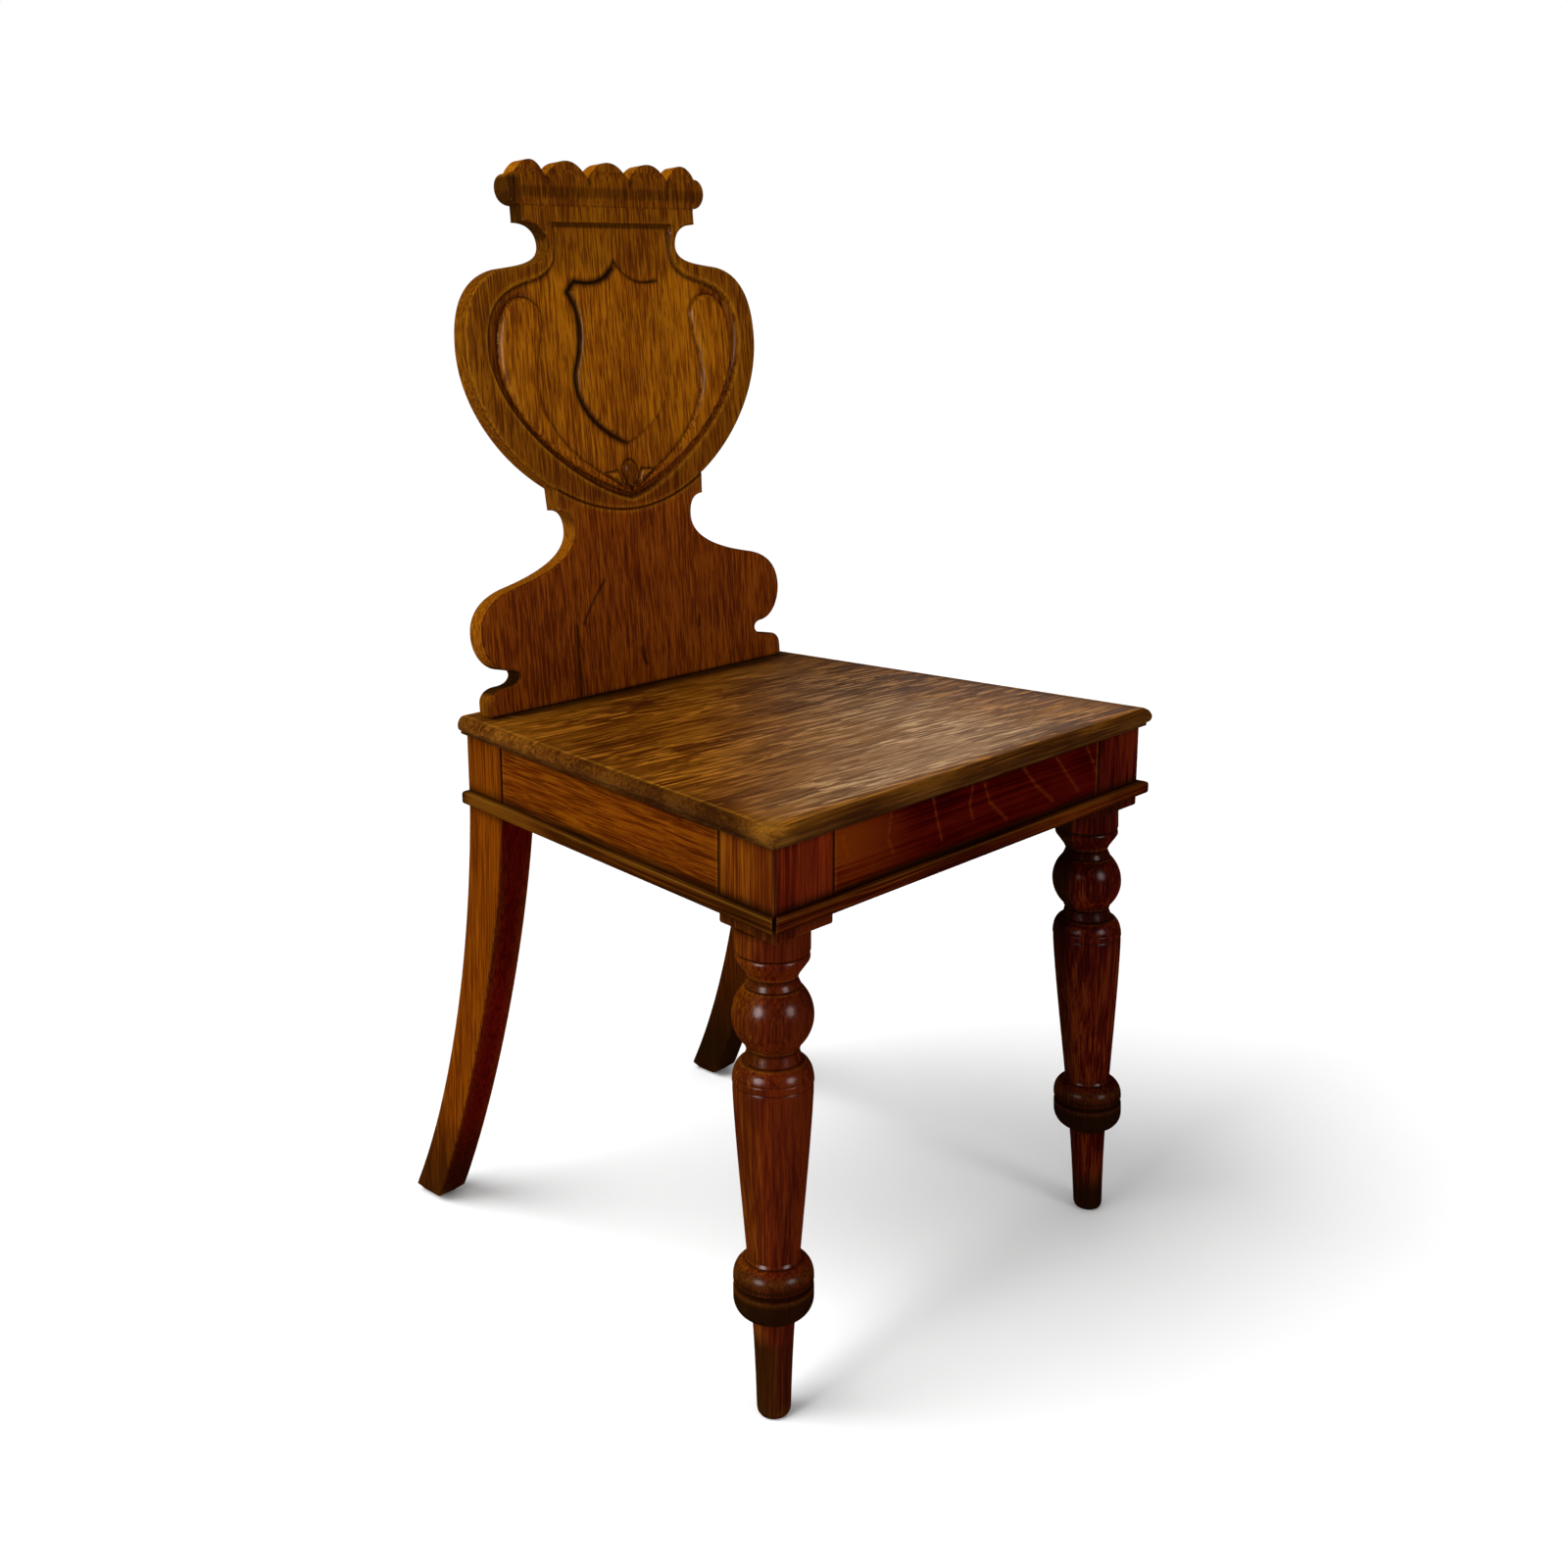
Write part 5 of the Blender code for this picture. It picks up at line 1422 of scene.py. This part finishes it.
def make_front_leg(hand, word, material, turning_stain):
    axis = np.array([hand * (APRON_HALF - FRONT_BLOCK / 2), FRONT_Y + FRONT_BLOCK / 2])
    block = front_block(hand, axis)
    turns = np.concatenate([np.arctan2(block[:, 1], block[:, 0]), np.linspace(-math.pi, math.pi, 97)[1:]])
    turns = np.unique(turns.round(5))
    rays = np.stack([np.cos(turns), np.sin(turns)], 1)
    rings = front_leg_rings(hand, axis, rays, reach(block, rays))
    points, faces = skin(rings)
    z = points[:, 2]
    on_block = z > BLOCK_BOTTOM + 0.0001
    facing = points[:, 1] - FRONT_Y < 0.0003
    stain = leg_stain(z)
    block_dirt, block_wear = block_stain(hand, points, *stain)
    spread = np.tile(rays @ np.array(PHOTO_RIGHT), len(rings))
    dirt, wear, red = turning_stain(z, spread, *stain)
    piece(
        f"turned_leg_{word}", points, faces, material, [f"front_leg_{word}"], "oak_front", sharp=35,
        dirt=np.where(on_block, block_dirt, dirt),
        wear=np.where(on_block, block_wear, wear),
        # the block's front face takes the darker red stain, also as painted shade
        red=np.where(on_block, 0.9 * facing, red),
    )


# Heights of a rear leg's rings above the apron's foot
REAR_BLOCK_LEVELS = (RAIL_TOP, RAIL_TOP - 0.003, 0.405, 0.392, 0.387, BEAD_TOP)


def sabre_edge(top, foot, upper, lower):
    """Points down the front or the rear edge of a rear leg, from the apron's foot to the floor."""
    sweep = foot - top
    start = (top, RAIL_BOTTOM)
    bend = curve(
        start, (top + upper[0] * sweep, upper[1] * RAIL_BOTTOM),
        (top + lower[0] * sweep, lower[1] * RAIL_BOTTOM), (foot, 0), step=0.0085,
    )
    whole = np.concatenate([[start], bend])
    given, wanted = np.linspace(0, 1, len(whole)), np.linspace(0, 1, 46)
    return np.stack([np.interp(wanted, given, whole[:, i]) for i in (0, 1)], 1)


def sabre_ring(hand, front, rear):
    """A ring across a rear leg, with each point's distance to a corner and its redness, a darker stain on the
    front and inner faces that also paints their shade.
    """
    (d0, z0), (d1, z1) = front, rear
    share = 1 - min(z0 / RAIL_BOTTOM, 1)
    outer_front = side(REAR_BLOCK_FRONT) * (1 - share) + REAR_FOOT_HALF * share
    outer_rear = side(APRON_DEPTH) * (1 - share) + REAR_FOOT_HALF * share
    inner = REAR_BLOCK_INNER * (1 - share) + (REAR_FOOT_HALF - REAR_FOOT_WIDTH) * share
    draw = 0.0055 * (1 - math.sqrt(1 - max(0, 1 - min(z0, z1) / 0.008) ** 2))
    plan = [
        (outer_front - draw, d0 + draw), (outer_rear - draw, d1 - draw),
        (inner + draw, d1 - draw), (inner + draw, d0 + draw),
    ]
    ring = eased_corners(plan, 0.0008 + 0.0014 * share)
    sides = zip(ring, np.roll(ring, -1, axis=0))
    ring = np.concatenate([[p + (q - p) * f for f in (0, 0.03, 0.33, 0.67, 0.97)] for p, q in sides])
    x, d = ring.T
    height = z0 + (z1 - z0) * np.clip((d - d0) / (d1 - d0), 0, 1)
    near = np.minimum.reduce([np.hypot(x - corner_x, d - corner_d) for corner_x, corner_d in plan])
    # front and inner faces: a darker red stain, also as painted shade
    red = np.where(d - d0 < 0.0012, 1.0, np.where(x - inner < 0.0012, 0.8, 0.0))
    return np.stack([hand * x, FRONT_Y + d, height], 1), near, red


def sabre_stain(hand, points, near, red):
    z = points[:, 2]
    depth = points[:, 1] - FRONT_Y
    high = z > RAIL_BOTTOM
    # Painted shadow under the seat and below the rail, painted shade above the bead, a dark joint, darker
    # feet
    dirt = strongest(
        0.9 * bell(RAIL_TOP - z, 0.0022),
        0.9 * bell(z - BEAD_TOP, 0.004) * high,
        0.97 * bell(depth - REAR_BLOCK_FRONT, JOINT_LINE) * high,
        0.55 * bell(RAIL_BOTTOM - z, 0.005) * ~high,
        0.74 * falling(z, 0.11, 0.09),
        0.15 * high,
    )
    # Painted shade on the right leg's front and inner faces, deeper towards the foot
    if hand > 0:
        shade = 0.60 + 0.35 * falling(z, 0.15, 0.12)
        dirt = strongest(dirt, shade * (red > 0) * (z < RAIL_BOTTOM))
        red = red * 0.45
    wear = strongest(
        0.5 * bell(near, 0.0017) * falling(z, RAIL_BOTTOM, 0.1),
        0.55 * bell(z - 0.006, 0.006) * bell(near, 0.006),
    )
    return dirt, wear, red


def make_rear_leg(hand, word):
    foot_rear = APRON_DEPTH + REAR_LEG_KICK
    front = sabre_edge(REAR_BLOCK_FRONT, foot_rear - REAR_FOOT_DEPTH, (0.11, 0.67), (0.54, 0.27))
    rear = sabre_edge(APRON_DEPTH, foot_rear, (0.03, 0.61), (0.45, 0.24))
    pairs = [((REAR_BLOCK_FRONT, height), (APRON_DEPTH, height)) for height in REAR_BLOCK_LEVELS]
    pairs += list(zip(front, rear))
    rings, near, red = zip(*(sabre_ring(hand, *pair) for pair in pairs))
    points, faces = skin(rings)
    dirt, wear, red = sabre_stain(hand, points, np.concatenate(near), np.concatenate(red))
    piece(
        f"sabre_leg_{word}", points, faces, oak_rear, [f"rear_leg_{word}"], "oak_side",
        sharp=40, dirt=dirt, wear=wear, red=red,
    )


make_back()
make_front_rail()
for hand, word in HANDS:
    make_side_rail(hand, word)
make_bead("front", oak_bead_front, front_bead_place, 0.004, 0.0)
for hand, word in HANDS:
    make_bead(word, oak_bead[hand], side_bead_place(hand), 0.003, 0.9)
make_seat()
front_legs = {-1: (oak_leg_left, left_turning_stain), 1: (oak_leg_right, right_turning_stain)}
for hand, word in HANDS:
    make_front_leg(hand, word, *front_legs[hand])
    make_rear_leg(hand, word)

# Joinery under the seat keeps its solids
JOINERY = {"screw": screw_steel, "back_rail": oak_back_rail, "peg": oak_inner, "corner": oak_inner}
for name, node in nodes.items():
    for word, material in JOINERY.items():
        if word in name:
            node.data.materials.clear()
            node.data.materials.append(material)


# Floor, light and camera

def make_floor():
    mesh = bpy.data.meshes.new("floor")
    far = 60.0
    mesh.from_pydata([(-far, -far, 0), (far, -far, 0), (far, far, 0), (-far, far, 0)], [], [(0, 1, 2, 3)])
    g = Graph("pale_floor")
    g.shader.inputs["Base Color"].default_value = colour(0.88, 0.88, 0.88)
    g.shader.inputs["Roughness"].default_value = 0.9
    g.shader.inputs["Specular IOR Level"].default_value = 0.0
    mesh.materials.append(g.material)
    obj = bpy.data.objects.new("floor", mesh)
    bpy.context.scene.collection.objects.link(obj)
    obj.visible_glossy = False
    obj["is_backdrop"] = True


def aim(obj, place, target):
    obj.location = place
    obj.rotation_euler = (Vector(target) - Vector(place)).to_track_quat("-Z", "Y").to_euler()


def panel(name, place, target, size, radiance, diffuse=True, glossy=True):
    """A soft round light; its power follows from its size and how bright it looks."""
    data = bpy.data.lights.new(name, "AREA")
    data.shape = "DISK"
    data.size = size
    data.energy = radiance * math.pi * math.pi * (size / 2) ** 2
    obj = bpy.data.objects.new(name, data)
    bpy.context.scene.collection.objects.link(obj)
    aim(obj, place, target)
    obj.visible_camera = False
    obj.visible_diffuse = diffuse
    obj.visible_glossy = glossy


def make_lights():
    world = bpy.data.worlds.new("studio")
    bpy.context.scene.world = world
    world.use_nodes = True
    tree = world.node_tree
    tree.nodes.clear()
    out = tree.nodes.new("ShaderNodeOutputWorld")
    rays = tree.nodes.new("ShaderNodeLightPath")
    shades = []
    for strength in (0.45, 0.012, 1.0):
        shade = tree.nodes.new("ShaderNodeBackground")
        shade.inputs["Color"].default_value = colour(1, 1, 1)
        shade.inputs["Strength"].default_value = strength
        shades.append(shade.outputs[0])
    for first, second, ray in ((0, 1, "Is Glossy Ray"), (-1, 2, "Is Camera Ray")):
        mix = tree.nodes.new("ShaderNodeMixShader")
        tree.links.new(rays.outputs[ray], mix.inputs[0])
        tree.links.new(shades[first], mix.inputs[1])
        tree.links.new(shades[second], mix.inputs[2])
        shades.append(mix.outputs[0])
    tree.links.new(shades[-1], out.inputs[0])
    sun = bpy.data.lights.new("daylight", "SUN")
    sun.energy = 3.0
    sun.angle = math.radians(48)
    daylight = bpy.data.objects.new("daylight", sun)
    bpy.context.scene.collection.objects.link(daylight)
    aim(daylight, (-1.61, 0.92, 2.36), (0, 0, 0))
    daylight.visible_glossy = False
    panel("left_fill", (-2.3, -0.15, 1.05), (0, 0, 0.45), 0.55, 18, glossy=False)
    panel("front_fill", (0.1, -2.4, 1.05), (0, 0, 0.45), 0.8, 9, glossy=False)
    panel("left_window", (-2.3, -0.15, 1.15), (0, 0, 0.45), 1.00, 60, diffuse=False)
    panel("front_window", (0.1, -2.4, 1.15), (0, 0, 0.45), 0.90, 40, diffuse=False)
    panel("far_window", (2.25, 1.30, 1.17), (0, 0, 0.45), 0.8, 0.55)
    bpy.context.scene.view_settings.view_transform = "Standard"


# The photo's camera
CAMERA_PLACE = Vector((-1.0319, -1.0011, 0.8020))
CAMERA_AZIMUTH = math.radians(46.942)
CAMERA_PITCH = math.radians(-12.595)
CAMERA_LENS = 41.538
CAMERA_SENSOR = 36.0
CAMERA_SHIFT = -0.075


def make_camera():
    data = bpy.data.cameras.new("photo")
    obj = bpy.data.objects.new("photo", data)
    bpy.context.scene.collection.objects.link(obj)
    data.sensor_width = CAMERA_SENSOR
    data.lens = CAMERA_LENS
    data.shift_y = CAMERA_SHIFT
    data.clip_start = 0.01
    level = math.cos(CAMERA_PITCH)
    ahead = (math.sin(CAMERA_AZIMUTH) * level, math.cos(CAMERA_AZIMUTH) * level, math.sin(CAMERA_PITCH))
    aim(obj, CAMERA_PLACE, CAMERA_PLACE + Vector(ahead))
    bpy.context.scene.camera = obj


make_floor()
make_lights()
make_camera()
boxes = {"cad": cad_box, "visual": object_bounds()}
{name: [list(corner) for corner in box] for name, box in boxes.items()}
